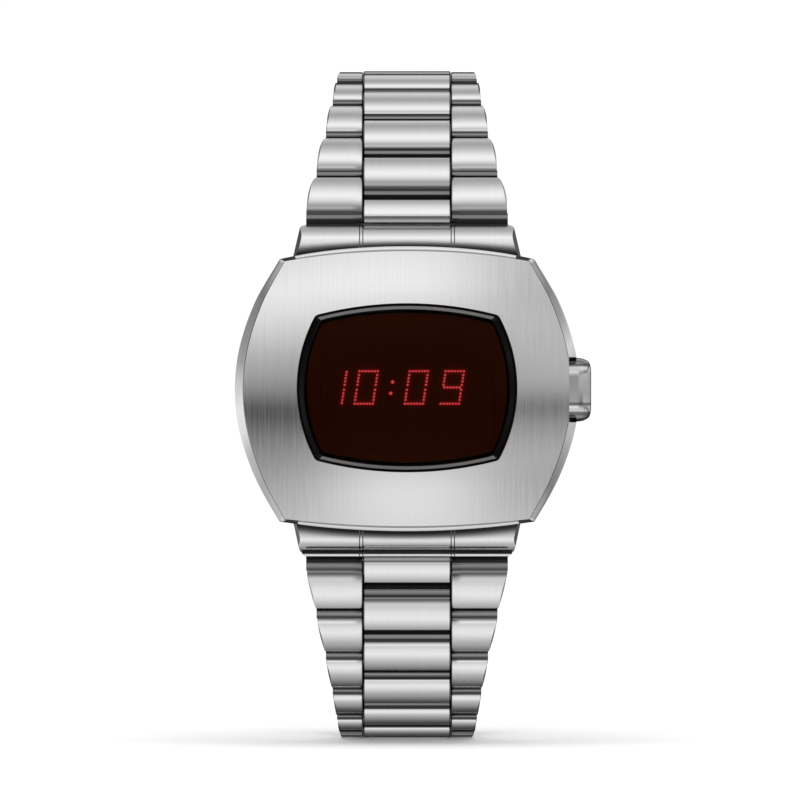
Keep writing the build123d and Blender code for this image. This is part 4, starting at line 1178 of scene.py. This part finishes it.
# brightness by elevation (degrees from straight ahead, over the top to the back)
LOW = [(-173, .42), (-167, .02), (-150, .03), (-132, .10), (-120, .25), (-108, .42), (-96, .57), (-84, .84), (-72, 1.02),
       (-54, .92), (-42, .76)]
HIGH = [(42, .62), (54, .81), (72, 1.12), (80, 1.06), (90, .84), (102, .57), (114, .42), (132, .68), (141, .78), (149, .45),
        (157, .02), (167, .02), (173, .42)]
MIDDLE = [(-26.5, 1.0), (-22, 1.02), (-18, .80), (-5, .40), (5, .30), (18.6, .85), (24, 1.14), (31, 1.04)]
LOW_AWAY = [(-173, .42), (-167, .02), (-144, .05), (-120, .25), (-84, .84), (-68, 1.02), (-42, .76)]
HIGH_AWAY = [(42, .62), (68, 1.10), (80, 1.06), (102, .57), (114, .42), (141, .78), (157, .02), (167, .02), (173, .42)]
LEFT = [(-26, .46), (-19, .34), (-14, .25), (-9, .12), (-6.5, .02), (-4, .02), (-1.4, .22), (1.3, .34), (4, .44), (6.7, .51),
        (9.5, .59), (12, .73), (17.6, .93), (24, 1.08)]
RIGHT = [(-26, .46), (-20, .43), (-17.5, .51), (-12, .43), (-7, .29), (-4.1, .10), (-1.4, .33), (1.3, .49), (4, .54), (6.7, .56),
         (12, .58), (17.6, .59), (22, .52)]
ramps = [lamp_ramp(part, -180, 180) for part in (LOW + MIDDLE + HIGH, LOW_AWAY + LEFT + HIGH_AWAY, LOW_AWAY + RIGHT + HIGH_AWAY)]
for r in ramps:
    nt.links.new(mr.outputs["Result"], r.inputs["Fac"])
flip = nt.nodes.new("ShaderNodeMath")
flip.operation = "MULTIPLY"
flip.inputs[1].default_value = -1.0
nt.links.new(sep.outputs["X"], flip.inputs[0])
front = blend(ramps[0].outputs["Color"], ramps[1].outputs["Color"], weight(flip.outputs[0], 0.08, 0.30))
front = blend(front, ramps[2].outputs["Color"], weight(sep.outputs["X"], 0.08, 0.30))
# the surroundings to the left and right, by height
zr = nt.nodes.new("ShaderNodeMapRange")
zr.inputs["From Min"].default_value = -1.0
zr.inputs["From Max"].default_value = 1.0
nt.links.new(sep.outputs["Z"], zr.inputs["Value"])
SIDE_LEFT = [(-1.0, .85), (-0.7, .80), (-0.5, .48), (-0.42, .56), (-0.35, .60), (-0.25, .92), (-0.12, .98), (0.0, .78), (0.08, .64),
             (0.15, .44), (0.25, .36), (0.385, .30), (0.52, .22), (0.7, .85), (1.0, .95)]
SIDE_RIGHT = [(-1.0, .85), (-0.7, .75), (-0.5, .24), (-0.385, .36), (-0.25, .60), (-0.15, .62), (-0.08, .66), (-0.03, .40), (0.0, .34),
              (0.06, .56), (0.13, .55), (0.25, .84), (0.385, .42), (0.47, .34), (0.54, .26), (0.7, .85), (1.0, .95)]
wide_l, wide_r = lamp_ramp(SIDE_LEFT, -1, 1), lamp_ramp(SIDE_RIGHT, -1, 1)
nt.links.new(zr.outputs["Result"], wide_l.inputs["Fac"])
nt.links.new(zr.outputs["Result"], wide_r.inputs["Fac"])
front = blend(front, wide_l.outputs["Color"], weight(flip.outputs[0], 0.50, 0.72))
front = blend(front, wide_r.outputs["Color"], weight(sep.outputs["X"], 0.50, 0.72))
soft = nt.nodes.new("ShaderNodeBackground")
soft.inputs["Strength"].default_value = 1.0
nt.links.new(front, soft.inputs["Color"])
plain = nt.nodes.new("ShaderNodeBackground")
plain.inputs["Color"].default_value = (1, 1, 1, 1)
plain.inputs["Strength"].default_value = 1.05
lp = nt.nodes.new("ShaderNodeLightPath")
ms = nt.nodes.new("ShaderNodeMixShader")
nt.links.new(lp.outputs["Is Camera Ray"], ms.inputs["Fac"])
nt.links.new(soft.outputs[0], ms.inputs[1])
nt.links.new(plain.outputs[0], ms.inputs[2])
nt.links.new(ms.outputs[0], out.inputs["Surface"])

D = 4.2
cam_data = bpy.data.cameras.new("camera")
cam_data.sensor_width = 8.0
cam_data.lens = 8.0 * (D + 0.009) / 0.09494
cam_data.clip_start, cam_data.clip_end = 0.05, 50
cam = bpy.data.objects.new("camera", cam_data)
cam.location = (-0.00083, -D - 0.01, -0.001216)
cam.rotation_euler = (math.radians(90), 0, 0)
bpy.context.scene.collection.objects.link(cam)
bpy.context.scene.camera = cam
bpy.context.scene.view_settings.view_transform = "Standard"
bpy.context.scene.view_settings.look = "None"
